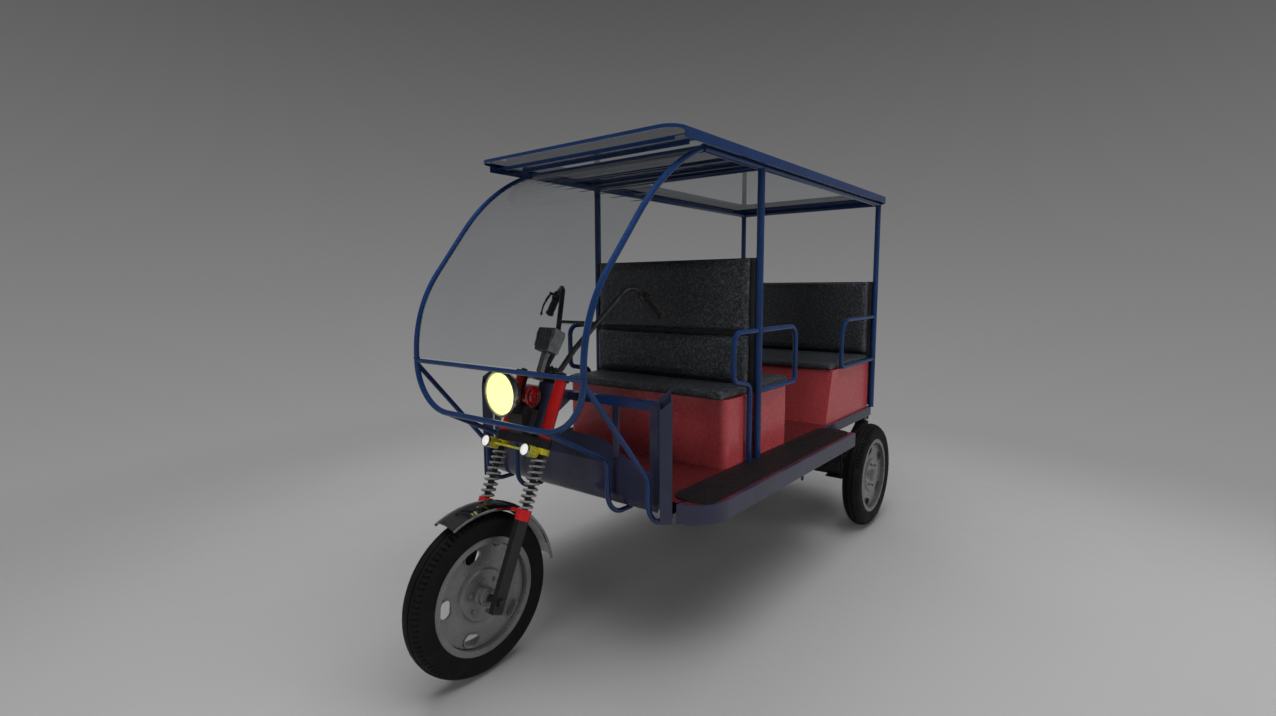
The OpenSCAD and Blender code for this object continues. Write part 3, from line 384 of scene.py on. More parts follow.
def make_surfaces(c):
    """The materials, by slot, or by their own name where a slot has more than one."""
    made = {}
    made["tube_navy"] = paint("tube_paint", c.navy, 0.12, 0.26, shade(c.navy, 1.5))
    made["panel_slate"] = paint("panel_paint", c.slate, 0.12, 0.28, shade(c.slate, 1.35))
    made["fork_red"] = paint("fork_paint", c.fork_red, 0.10, 0.24, shade(c.fork_red, 0.6))
    made["yoke_black"] = paint("yoke_paint", (0.013, 0.013, 0.015), 0.26, 0.45, (0.045, 0.043, 0.042))
    made["fork_grey"] = paint("leg_paint", (0.011, 0.011, 0.012), 0.24, 0.44, (0.03, 0.03, 0.031))
    made["axle_black"] = paint("axle_paint", (0.016, 0.016, 0.017), 0.4, 0.65, (0.05, 0.036, 0.028), 0.0)

    # The deck's material is the seat box red darkened to 0.22 of its colour: painted shade where the roof and
    # the seats shade the deck, not a paint of its own.
    for name, factor in (("seat_box_paint", 1.05), ("deck_painted_shade", 0.22)):
        tone = shade(c.seat_red, factor)
        made[name] = blend(
            name, (150.0, 3.0, 0.8), shades(tone, (0.30, 0.50), (0.46, 0.86), (0.58, 1.12), (0.74, 1.6)),
            (14.0, 6.0), (0.22, 0.40), (200.0, 3.0), (0.22, 0.0008), coat_weight=0.2,
        )
    made["box_red"] = made["seat_box_paint"]

    s = Surface("seat_vinyl")
    s.colour(s.noise(95.0, 4.0, 0.8), shades(c.vinyl, (0.38, 0.30), (0.49, 0.9), (0.57, 2.2), (0.68, 4.6)))
    s.rough(s.noise(60.0, 4.0), 0.30, 0.5)
    s.bump(s.cells(230.0), 0.5, 0.0012)
    made["vinyl"] = s.bump(s.noise(9.0, 3.0), 0.2, 0.005).mat

    made["tyre"] = blend(
        "tyre_rubber", (16.0, 8.0, 0.6), shades(c.rubber, (0.25, 0.75), (0.60, 1.15), (0.85, 2.2)),
        (30.0, 5.0), (0.55, 0.75), (420.0, 2.0), (0.12, 0.0005), specular_ior_level=0.14,
    )
    made["mat"] = blend(
        "mat_rubber", (120.0, 5.0, 0.7), shades(c.rubber, (0.30, 0.8), (0.58, 1.5), (0.78, 3.6)),
        (40.0, 4.0), (0.5, 0.75), (260.0, 3.0), (0.4, 0.001),
    )
    made["grip"] = blend(
        "grip_rubber", (60.0, 4.0), [(0.3, (0.008, 0.008, 0.008)), (0.7, (0.022, 0.022, 0.023))],
        (90.0,), (0.5, 0.7), (500.0, 2.0), (0.25, 0.0006),
    )
    made["wheel_grey"] = blend(
        "wheel_paint", (11.0, 7.0, 0.65), shades(c.wheel, (0.22, 0.75), (0.5, 1.0), (0.72, 1.18), (0.86, 0.85)),
        (20.0, 6.0), (0.22, 0.40), (140.0, 3.0), (0.12, 0.0008), metallic=0.65,
    )
    made["spring_steel"] = blend(
        "spring_steel", (60.0, 5.0),
        [(0.3, (0.22, 0.22, 0.225)), (0.6, (0.42, 0.42, 0.43)), (0.85, (0.30, 0.28, 0.26))],
        (50.0, 4.0), (0.28, 0.45), (300.0, 2.0), (0.08, 0.0004), metallic=0.55,
    )
    made["chrome"] = blend(
        "bright_steel", (18.0, 7.0, 0.6),
        [(0.3, (0.20, 0.20, 0.206)), (0.6, (0.34, 0.34, 0.352)), (0.85, (0.25, 0.244, 0.232))],
        (24.0, 6.0), (0.05, 0.14), (30.0, 2.0), (0.04, 0.0008), metallic=1.0,
    )
    made["bar_metal"] = blend(
        "bar_steel", (40.0, 5.0, 0.6, (1, 1, 0.3)), [(0.3, (0.05, 0.05, 0.052)), (0.7, (0.13, 0.13, 0.135))],
        (60.0, 4.0), (0.24, 0.42), (400.0, 2.0), (0.08, 0.0004), metallic=0.85,
    )
    made["motor_grey"] = blend(
        "motor_casting", (30.0, 7.0, 0.65),
        [(0.3, (0.10, 0.10, 0.105)), (0.6, (0.22, 0.22, 0.23)), (0.85, (0.13, 0.11, 0.09))],
        (50.0, 4.0), (0.4, 0.62), (500.0, 3.0), (0.35, 0.0008), metallic=0.7,
    )
    made["board"] = blend(
        "seat_board", (26.0, 6.0, 0.6, (1, 0.12, 1)),
        [(0.3, (0.012, 0.012, 0.013)), (0.7, (0.030, 0.030, 0.032))],
        (30.0, 4.0), (0.5, 0.7), (120.0, 4.0, 0.6, (1, 0.1, 1)), (0.25, 0.0008),
    )
    made["battery"] = blend(
        "battery_case", (20.0, 5.0), [(0.3, (0.012, 0.014, 0.018)), (0.7, (0.03, 0.034, 0.042))],
        (40.0,), (0.45, 0.6), (380.0,), (0.2, 0.0006),
    )
    made["pod"] = blend(
        "pod_plastic", (45.0, 5.0), [(0.3, (0.11, 0.11, 0.113)), (0.7, (0.22, 0.22, 0.226))],
        (60.0,), (0.35, 0.55), (420.0,), (0.2, 0.0006),
    )
    made["lamp_shell"] = blend(
        "lamp_shell_metal", (30.0, 4.0), [(0.3, (0.28, 0.28, 0.29)), (0.75, (0.50, 0.50, 0.51))],
        (40.0,), (0.12, 0.26), (300.0,), (0.05, 0.0004), metallic=0.95,
    )
    made["lens"] = blend(
        "headlight_glass", (55.0, 3.0), shades(c.lamp, (0.3, 0.8), (0.7, 1.0)),
        (30.0,), (0.08, 0.2), (90.0, 1.0, 0.5, (0.2, 1.0, 0.05)), (0.5, 0.002),
        emission_color=tuple(c.lamp), emission_strength=0.95,
    )
    made["amber"] = blend(
        "indicator_shell", (70.0, 4.0), shades(c.amber, (0.3, 0.55), (0.55, 1.0)) + [(0.8, (0.62, 0.22, 0.02))],
        (40.0,), (0.15, 0.32), (300.0,), (0.08, 0.0005), coat_weight=0.4,
    )

    s = Surface("indicator_glass")
    s.colour(s.noise(80.0, 2.0), [(0.3, (0.72, 0.72, 0.70)), (0.7, (0.92, 0.92, 0.90))])
    s.rough(s.noise(40.0), 0.1, 0.22)
    s.bump(s.cells(420.0), 0.3, 0.001)
    made["white_lens"] = s.set(emission_color=(1.0, 1.0, 0.96), emission_strength=0.35).mat

    for name, slot, tint in (("screen_glass", "pane", c.glass), ("roof_glass", "roof_glass", c.roof_glass)):
        s = Surface(name)
        s.colour(s.noise(6.0, 5.0), shades(tint, (0.3, 0.96), (0.8, 1.0)))
        s.rough(s.noise(12.0, 5.0), 0.0, 0.012)
        made[slot] = s.set(transmission_weight=1.0, ior=1.12).mat
    return made


SURFACES = {}
# The floor deck takes the darkened copy of the seat box red, which is painted shade.
OWN_SURFACE = {"floor_deck": "deck_painted_shade"}


class RICKSHAW_OT_surfaces(bpy.types.Operator):
    """Makes the materials and gives each solid its own"""

    bl_idname = "rickshaw.surfaces"
    bl_label = "Surfaces"

    def execute(self, context):
        SURFACES.update(make_surfaces(context.scene.rickshaw_colours))
        for sub in frame["record"]["subparts"]:
            node = frame["nodes"][sub["node"]]
            node.data.materials.clear()
            node.data.materials.append(SURFACES[OWN_SURFACE.get(sub["node"], sub["material_slot"])])
        return {"FINISHED"}


# Wheels

SHOULDER = 0.024  # from the middle of a tyre to the grooves across its tread
GROOVE_DEPTH = 0.0055  # of the two grooves round a tyre
BOLT_FACE = 0.0270  # from the middle of a wheel to the face under its bolts
VALVE_CIRCLE = 0.158
VALVE_FACE = 0.0215
# tyre, body, joint and the side that the wheel shows
WHEELS = (
    ("front_tyre", "front_wheel", "front_wheel_spin", 1),
    ("rear_tyre_left", "rear_wheel_left", "rear_wheel_left_spin", 1),
    ("rear_tyre_right", "rear_wheel_right", "rear_wheel_right_spin", -1),
)


def tyre_outline(radius, half, bead):
    """Closed section of a tyre as radius and side, with two grooves and a rib on each wall."""
    mid = radius - half
    wall = [(bead + r, half * s) for r, s in ((0.0, 0.80), (0.001, 0.885), (0.010, 0.91))]
    for deg in range(8, 90, 7):
        a = math.radians(deg)
        bump = 0.0010 if deg in (29, 36) else 0.0
        wall.append((mid + (half + bump) * math.sin(a), (half + bump) * math.cos(a)))
    wall = [p for p in wall if p[1] > 0.0165]
    crown = mid + math.sqrt(half * half - 0.015 * 0.015)
    floor = crown - GROOVE_DEPTH
    wall += [(crown, 0.0150), (floor, 0.0146), (floor, 0.0114), (crown + 0.0006, 0.0110)]
    wall += [(radius - 0.0006, 0.0055), (radius, 0.0)]
    return wall + [(r, -s) for r, s in reversed(wall[:-1])]


class RICKSHAW_OT_tyres(bpy.types.Operator):
    """Tyres with shoulder grooves cut across the tread"""

    bl_idname = "rickshaw.tyres"
    bl_label = "Tyres"

    def execute(self, context):
        sizes = context.scene.rickshaw_sizes
        steps = sizes.tread_pitch * 4
        for node, body, joint, _ in WHEELS:
            lo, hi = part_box(node)
            centre = Vector(JOINTS[joint]["pos_m"])
            radius, half = centre.z - lo.z, (hi.y - lo.y) / 2
            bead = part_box(node.replace("tyre", "rim"))[1].z - centre.z + 0.0004
            bm = bmesh.new()
            add_turned(bm, tyre_outline(radius, half, bead), Matrix.Rotation(math.pi / 2, 4, "X"), steps)
            bmesh.ops.recalc_face_normals(bm, faces=bm.faces[:])
            cut = []
            for f in bm.faces:
                p = f.calc_center_median()
                step = int((math.atan2(p.z, p.x) / TURN + 1.0) * steps + (2.0 if p.y > 0 else 0.0))
                across = SHOULDER < abs(p.y) < half * 0.84 and p.xz.length > radius - half * 0.5
                if across and step % 4 == 0:
                    cut.append(f)
            new = bmesh.ops.extrude_face_region(bm, geom=cut)["geom"]
            for v in (g for g in new if isinstance(g, bmesh.types.BMVert)):
                ring = Vector((v.co.x, 0, v.co.z)).normalized() * (radius - half)
                v.co += (ring - v.co).normalized() * sizes.tread_depth
            bmesh.ops.translate(bm, verts=bm.verts[:], vec=centre)
            obj = finish_piece(bm, node + "_tread", SURFACES["tyre"], body, 28.0)
            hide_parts(node)
        return {"FINISHED"}


class RICKSHAW_OT_wheel_fittings(bpy.types.Operator):
    """Wheel bolts, hub caps and valve stems"""

    bl_idname = "rickshaw.wheel_fittings"
    bl_label = "Wheel fittings"

    def execute(self, context):
        sizes = context.scene.rickshaw_sizes
        for node, body, joint, way in WHEELS:
            centre = Vector(JOINTS[joint]["pos_m"])
            out = Vector((0, way, 0))
            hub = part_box(node.replace("tyre", "rim"))[1].y - centre.y
            bm = bmesh.new()
            for i in range(6):
                spot = centre + sizes.bolt_circle * spoke(60 * i + 18) + out * BOLT_FACE
                add_bolt(bm, spot, out, sizes.bolt_size, 0.009)
            if body != "front_wheel":
                cap = [(0.0, 0.0075), (0.010, 0.0070), (0.019, 0.0050), (0.0235, 0.0015), (0.0245, 0.0002),
                       (0.0, 0.0002)]
                add_turned(bm, cap, axis_matrix(centre + out * hub, out), 36)
            else:
                for way_hub in (-1, 1):
                    face = centre + Vector((0, way_hub * hub, 0))
                    ring = [(0.0125, 0.0002), (0.0235, 0.0002), (0.0235, 0.0060), (0.0205, 0.0075),
                            (0.0125, 0.0075)]
                    add_turned(bm, ring, axis_matrix(face, (0, way_hub, 0)), 36)
            radial = spoke(110)
            foot = centre + VALVE_CIRCLE * radial + out * VALVE_FACE
            add_rod(bm, foot, foot + out * 0.016 + radial * 0.010, 0.0038, 12, 0.0030)
            finish_piece(bm, body + "_fittings", SURFACES["wheel_grey"], body)
        return {"FINISHED"}


# Fork

YOKE_TOP = 0.7640  # top face of the upper yoke, up the fork from the axle
COIL_STEPS = 32  # for each turn of a spring
GUARD_START = 64.5  # degrees from straight ahead to the end of the mudguard's edge
GUARD_SWEEP = 108.5


class RICKSHAW_OT_fork_trim(bpy.types.Operator):
    """Round coil springs, axle nuts, yoke bolts and the rolled edge of the mudguard"""

    bl_idname = "rickshaw.fork_trim"
    bl_label = "Fork trim"

    def execute(self, context):
        sizes = context.scene.rickshaw_sizes
        local = fork_points("fork_springs")
        low, high = min(p.z for p in local), max(p.z for p in local)
        side = middle_side(local)
        turns, wire = sizes.coil_turns, sizes.coil_wire
        steps = turns * COIL_STEPS
        rise = (high - low - 2 * wire) / steps
        bm = bmesh.new()
        for way in (-1, 1):
            before = set(bm.verts)
            m = Matrix.Translation((sizes.coil_radius, 0, 0)) @ Matrix.Rotation(math.pi / 2, 4, "X")
            ring = bmesh.ops.create_circle(bm, cap_ends=False, segments=12, radius=wire, matrix=m)["verts"]
            spin(bm, ring + edges_of(ring), TURN * turns, steps, False, rise=rise)
            made = close_ends(bm, before, 12)
            bmesh.ops.transform(bm, matrix=FORK @ Matrix.Translation((0, way * side, low + wire)), verts=made)
        obj = finish_piece(bm, "fork_coils", SURFACES["spring_steel"], "steering", 60.0)
        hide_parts("fork_springs")

        bm = bmesh.new()
        leg = max(p.y for p in fork_points("fork_legs"))
        for way in (-1, 1):
            nut = FORK @ Vector((0, way * (leg + SEAT_GAP), 0))
            add_bolt(bm, nut, (0, way, 0), 0.026, 0.009)
        for y in (-side, side):
            add_bolt(bm, FORK @ Vector((0, y, YOKE_TOP + SEAT_GAP)), FORK.col[2].xyz, 0.024, 0.010)
        clamp = max(p.z for p in fork_points("fork_yokes"))
        for x in (-0.049, -0.027):
            for y in (-0.008, 0.008):
                add_bolt(bm, FORK @ Vector((x, y, clamp + SEAT_GAP)), FORK.col[2].xyz, 0.008, 0.005)
        finish_piece(bm, "fork_bolts", SURFACES["fork_grey"], "steering")

        axle = Vector(JOINTS["front_wheel_spin"]["pos_m"])
        guard = [p - axle for p in points("front_mudguard")]
        edge = max(p.y for p in guard)
        inner = min(p.xz.length for p in guard)
        bm = bmesh.new()
        for y in (-edge + 0.002, edge - 0.002):
            add_ring(
                bm, axle + Vector((0, y, 0)), (0, -1, 0), inner, 0.0032, 72, 10, spoke(GUARD_START),
                math.radians(GUARD_SWEEP),
            )
        finish_piece(bm, "mudguard_edges", SURFACES["chrome"], "steering", 60.0)
        return {"FINISHED"}


class RICKSHAW_OT_lamps(bpy.types.Operator):
    """Bright rim of the headlight, rims of the indicators and the rings of the horn"""

    bl_idname = "rickshaw.lamps"
    bl_label = "Lamps and horn"

    def execute(self, context):
        lo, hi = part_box("headlight")
        middle = (lo + hi) / 2
        face = Vector((hi.x, middle.y, middle.z))
        radius = (hi.z - lo.z) / 2
        bm = bmesh.new()
        rim = [(-0.0058, 0.0012), (-0.004, 0.0042), (-0.001, 0.0046), (0.0006, 0.0022), (0.0006, -0.009),
               (0.0002, -0.009), (-0.0002, 0.0002), (-0.0058, 0.0002)]
        add_turned(bm, [(radius + r, z) for r, z in rim], axis_matrix(face, (1, 0, 0)), 72)
        add_bolt(bm, face + Vector((-0.004, 0, -radius - 0.0004)), (0, 0, -1), 0.010, 0.005)
        lens = fork_points("indicator_lenses")
        back = min(p.x for p in lens)
        side = middle_side(lens)
        height = (max(p.z for p in lens) + min(p.z for p in lens)) / 2
        for y in (-side, side):
            spot = FORK @ Vector((back + 0.0080, y, height))
            add_turned(
                bm, [(0.0184, -0.006), (0.0205, -0.006), (0.0205, 0.0006), (0.0194, 0.0018), (0.0184, 0.0008)],
                axis_matrix(spot, FORK.col[0].xyz), 36,
            )
        finish_piece(bm, "lamp_rims", SURFACES["chrome"], "steering", 50.0)

        lo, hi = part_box("horn")
        middle = (lo + hi) / 2
        bm = bmesh.new()
        for radius, depth in ((0.034, 0.0112), (0.029, 0.0112), (0.0225, 0.0042), (0.017, 0.0042)):
            add_ring(bm, (middle.x, hi.y - depth, middle.z), (0, 1, 0), radius, 0.0013, 40, 8)
        add_bolt(bm, (middle.x, hi.y + 0.0002, middle.z), (0, 1, 0), 0.012, 0.005)
        finish_piece(bm, "horn_rings", SURFACES["chrome"], "steering", 50.0)
        return {"FINISHED"}


# Controls

GRIP_RUN = (25.0, -110.0, 131.0)  # way of the left grip, from its end inwards


class RICKSHAW_OT_controls(bpy.types.Operator):
    """Ribbed grips, tapered brake levers with their clamps, and the dial of the pod"""

    bl_idname = "rickshaw.controls"
    bl_label = "Controls"

    def execute(self, context):
        bar = points("handlebar")
        bm = bmesh.new()
        for way in (-1, 1):
            tip = max((p for p in bar if p.y * way > 0), key=lambda p: p.y * way)
            far = [p for p in bar if (p - tip).length < 0.024]
            end = sum(far, Vector()) / len(far)
            along = Vector((GRIP_RUN[0], GRIP_RUN[1] * way, GRIP_RUN[2])).normalized()
            m = axis_matrix(end - along * 0.006, along)
            ribs = [(0.0, -0.0018), (0.0150, -0.0018), (0.0172, 0.0), (0.0172, 0.004), (0.0150, 0.0052)]
            for i in range(13):
                z = 0.0080 + i * 0.0056
                ribs += [(0.0136, z), (0.0152, z + 0.0012), (0.0152, z + 0.0032), (0.0136, z + 0.0044)]
            ribs += [(0.0150, 0.0815), (0.0190, 0.0825), (0.0190, 0.0860), (0.0150, 0.0872),
                     (0.0102, 0.0872), (0.0102, 0.010), (0.0, 0.010)]
            add_turned(bm, ribs, m, 28)
            before = set(bm.faces)
            clamp = [(0.0102, 0.0940), (0.0165, 0.0940), (0.0172, 0.0955), (0.0172, 0.1090),
                     (0.0165, 0.1105), (0.0102, 0.1105)]
            add_turned(bm, clamp, m, 28)
            hold = end + along * 0.097
            knee = hold + Vector((0.040, 0, 0.005))
            tip_lever = end + along * 0.004 + Vector((0.052, 0, -0.006))
            run = tip_lever - knee
            path = [hold + Vector((0.014, 0, 0.001)), hold + Vector((0.028, 0, 0.004)), knee]
            for t in (0.1, 0.25, 0.45, 0.65, 0.85, 1.0):
                path.append(knee + run * t + Vector((0.010 * math.sin(math.pi * t), 0, 0)))
            radii = [0.0062, 0.0062, 0.0060, 0.0058, 0.0054, 0.0050, 0.0046, 0.0044, 0.0050]
            add_sweep(bm, path, radii, 12, 0.7, (0, 1, 0.3))
            bmesh.ops.create_uvsphere(
                bm, u_segments=16, v_segments=10, radius=0.0062, matrix=Matrix.Translation(tip_lever)
            )
            add_bolt(bm, knee + Vector((0, 0, 0.0045)), (0, 0, 1), 0.009, 0.004)
            set_faces(bm, before, 1)
        covers = [SURFACES["grip"], SURFACES["yoke_black"]]
        obj = finish_piece(bm, "grips_and_levers", covers, "steering", 40.0)
        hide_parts("hand_controls")

        pod = fork_points("instrument_pod")
        top, back, front = max(p.z for p in pod), min(p.x for p in pod), max(p.x for p in pod)
        bm = bmesh.new()
        dial = FORK @ Vector((back - 0.0003, 0, top - 0.043))
        face = [(0.0, 0.0006), (0.0275, 0.0006), (0.0285, 0.004), (0.0310, 0.0052), (0.0335, 0.004),
                (0.0340, 0.0), (0.0, 0.0)]
        add_turned(bm, face, axis_matrix(dial, -FORK.col[0].xyz), 48)
        for y in (-0.034, -0.0205, -0.0068, 0.0068, 0.0205, 0.034):
            start = (front + 0.0002, y - 0.0042, top - 0.070)
            add_block(bm, start, (front + 0.0042, y + 0.0042, top - 0.008), 0.0018, 3, FORK)
        finish_piece(bm, "pod_trim", SURFACES["pod"], "steering", 40.0)
        return {"FINISHED"}


# Seats

PAD_EDGE = 0.009  # softened edge before it fills
PAD_VOXEL = 0.0085
PAD_MASS = 0.35
PAD_PRESSURE = 4.0
PAD_FRAMES = 20
PAD_MARGIN = 0.0004  # kept clear inside the space of the solid
# each cushion's solid and the way that its padded side faces
CUSHIONS = {
    "driver_pad": (0, 0, 1), "middle_pad": (0, 0, 1), "rear_pad": (0, 0, 1), "driver_back": (1, 0, 0),
    "upper_back": (1, 0, 0), "middle_back": (-1, 0, 0), "rear_back": (1, 0, 0),
}


def filled_cushion(context, node, inset, cap):
    """A cushion filled by a cloth simulation inside the space of its solid."""
    scene = context.scene
    lo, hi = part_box(node)
    front = Vector(CUSHIONS[node])
    gap = Vector([0.0006 if abs(a) > 0.5 else inset * 0.6 for a in front])
    start, end = lo + gap, hi - gap
    for i in range(3):
        if front[i] > 0.5:
            end[i] -= inset
        elif front[i] < -0.5:
            start[i] += inset
    bm = bmesh.new()
    add_block(bm, start, end, PAD_EDGE, 3)
    mesh = bpy.data.meshes.new(node + "_start")
    bm.to_mesh(mesh)
    bm.free()
    obj = bpy.data.objects.new(node + "_cover", mesh)
    scene.collection.objects.link(obj)
    remesh = obj.modifiers.new("voxels", "REMESH")
    remesh.mode = "VOXEL"
    remesh.voxel_size = PAD_VOXEL
    remesh.adaptivity = 0.0
    graph = context.evaluated_depsgraph_get()
    dense = bpy.data.meshes.new_from_object(obj.evaluated_get(graph))
    obj.modifiers.clear()
    obj.data = dense
    rest = [v.co.copy() for v in dense.vertices]
    cloth = obj.modifiers.new("filling", "CLOTH")
    cloth.settings.quality = 4
    cloth.settings.mass = PAD_MASS
    cloth.settings.use_pressure = True
    cloth.settings.uniform_pressure_force = PAD_PRESSURE
    cloth.settings.effector_weights.gravity = 0.0
    cloth.point_cache.frame_start = 1
    cloth.point_cache.frame_end = PAD_FRAMES
    for number in range(1, PAD_FRAMES + 1):
        scene.frame_set(number)
    graph = context.evaluated_depsgraph_get()
    swollen = bpy.data.meshes.new_from_object(obj.evaluated_get(graph))
    obj.modifiers.clear()
    obj.data = swollen
    scene.frame_set(1)
    for v, was in zip(obj.data.vertices, rest):
        move = v.co - was
        if move.length > cap:
            move = move.normalized() * cap
        spot = was + move
        v.co = [min(max(spot[i], lo[i] + PAD_MARGIN), hi[i] - PAD_MARGIN) for i in range(3)]
    return obj


class RICKSHAW_OT_cushions(bpy.types.Operator):
    """Padded seats and backs, filled by a cloth simulation"""

    bl_idname = "rickshaw.cushions"
    bl_label = "Cushions"

    def execute(self, context):
        sizes = context.scene.rickshaw_sizes
        for node in CUSHIONS:
            obj = filled_cushion(context, node, sizes.pad_inset, sizes.pad_cap)
            obj.data.materials.clear()
            obj.data.materials.append(SURFACES["vinyl"])
            obj.data.shade_smooth()
            smooth = obj.modifiers.new("smooth", "SUBSURF")
            smooth.levels = 1
            smooth.render_levels = 1
            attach(obj, "chassis")
            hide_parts(node)
        return {"FINISHED"}


# Body

MAT_CORNER = 0.056
MAT_RIB = 0.0016  # height above a mat
POST_RADIUS = 0.015
ARM_RADIUS = 0.011
BOARD_HALF = 0.0075  # half the thickness of a seat board
REAR_POST_X = -1.404
SPRING_HALF = 0.030  # from the outside of a leaf spring to its middle
U_BOLT_HALF = 0.037  # half the width of a spring's U-bolts
DRUM_FACE = 0.502  # from the middle of the axle to the inner face of a drum
DRUM_CIRCLE = 0.075
MOTOR_CIRCLE = 0.068


class RICKSHAW_OT_mat_ribs(bpy.types.Operator):
    """Raised ribs along the rubber mats"""

    bl_idname = "rickshaw.mat_ribs"
    bl_label = "Mat ribs"

    def execute(self, context):
        pitch = context.scene.rickshaw_sizes.rib_pitch
        lo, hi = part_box("floor_mats")
        inner = min(p.y for p in points("floor_mats") if p.y > 0)
        bm = bmesh.new()
        y = inner + 0.034
        while y < hi.y - 0.010:
            near = min(y - inner, hi.y - y)
            pull = MAT_CORNER - math.sqrt(max(MAT_CORNER ** 2 - max(MAT_CORNER - near, 0.0) ** 2, 0.0))
            for way in (-1, 1):
                a, b = sorted((way * (y - pitch * 0.28), way * (y + pitch * 0.28)))
                start = (lo.x + pull + 0.010, a, hi.z - 0.0002)
                add_block(bm, start, (hi.x - pull - 0.010, b, hi.z + MAT_RIB), 0.0007, 1)
            y += pitch
        finish_piece(bm, "mat_ribs", SURFACES["mat"], "chassis", 30.0)
        return {"FINISHED"}


class RICKSHAW_OT_body_trim(bpy.types.Operator):
    """Weld beads on the tubes and bolts on the slats"""

    bl_idname = "rickshaw.body_trim"
    bl_label = "Body trim"

    def execute(self, context):
        bead = context.scene.rickshaw_sizes.bead
        frame_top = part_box("roof_frame")[1]
        post, rail = frame_top.y - POST_RADIUS, frame_top.z - POST_RADIUS
        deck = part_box("floor_deck")[1].z
        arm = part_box("armrests")[1].z - ARM_RADIUS
        mid_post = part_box("seat_boards")[1].x - BOARD_HALF
        bm = bmesh.new()
        for way in (-1, 1):
            for x in (REAR_POST_X, mid_post):
                add_ring(bm, (x, way * post, deck + 0.0012), (0, 0, 1), 0.0158, bead, 32, 8)
                add_ring(bm, (x, way * post, rail - 0.0155), (0, 0, 1), 0.0155, bead, 32, 8)
            add_ring(bm, (mid_post + 0.072, way * post, deck + 0.0012), (0, 0, 1), 0.0118, bead, 28, 8)
            for x in (mid_post - 0.0152, mid_post + 0.0152, REAR_POST_X + 0.0152):
                add_ring(bm, (x, way * post, arm), (1, 0, 0), 0.0116, bead, 28, 8)
        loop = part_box("front_loop")
        bar_y = loop[1].y - 0.010
        for way in (-1, 1):
            spot = ((loop[0].x + loop[1].x) / 2, way * bar_y, loop[1].z - 0.0004)
            add_ring(bm, spot, (0, 0, 1), 0.0106, bead, 28, 8)
        finish_piece(bm, "weld_beads", SURFACES["tube_navy"], "chassis", 60.0)

        bm = bmesh.new()
        slat_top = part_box("roof_slats")[1]
        xs = sorted({round(p.x, 4) for p in points("roof_slats")})
        slats = ((xs[0], xs[0] + 0.110), (mid_post + 0.045, mid_post + 0.170), (xs[-1] - 0.090, xs[-1]))
        for x0, x1 in slats:
            for x in (x0 + 0.025, x1 - 0.025):
                for way in (-1, 1):
                    spot = (x, way * (slat_top.y - 0.017), slat_top.z + SEAT_GAP)
                    add_bolt(bm, spot, (0, 0, 1), 0.012, 0.005)
        finish_piece(bm, "slat_bolts", SURFACES["yoke_black"], "chassis")
        return {"FINISHED"}


class RICKSHAW_OT_roof_sheet(bpy.types.Operator):
    """Clear flat sheet held under the lip of the roof rim"""

    bl_idname = "rickshaw.roof_sheet"
    bl_label = "Roof sheet"

    def execute(self, context):
        sizes = context.scene.rickshaw_sizes
        lo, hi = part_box("roof_rim")
        inset = Vector((sizes.sheet_inset, sizes.sheet_inset, 0))
        top = hi.z - sizes.sheet_inset
        bm = bmesh.new()
        verts = add_block(bm, (*(lo + inset).xy, top - sizes.sheet), (*(hi - inset).xy, top))
        upright = [e for e in edges_of(verts) if abs(e.verts[0].co.z - e.verts[1].co.z) > 1e-4]
        soften(bm, upright, sizes.sheet_corner, 8)
        soften(bm, [e for e in bm.edges if e.calc_face_angle(0.0) > 1.0], 0.0005, 2)
        finish_piece(bm, "roof_sheet", SURFACES["roof_glass"], "chassis", 5.0)
        return {"FINISHED"}


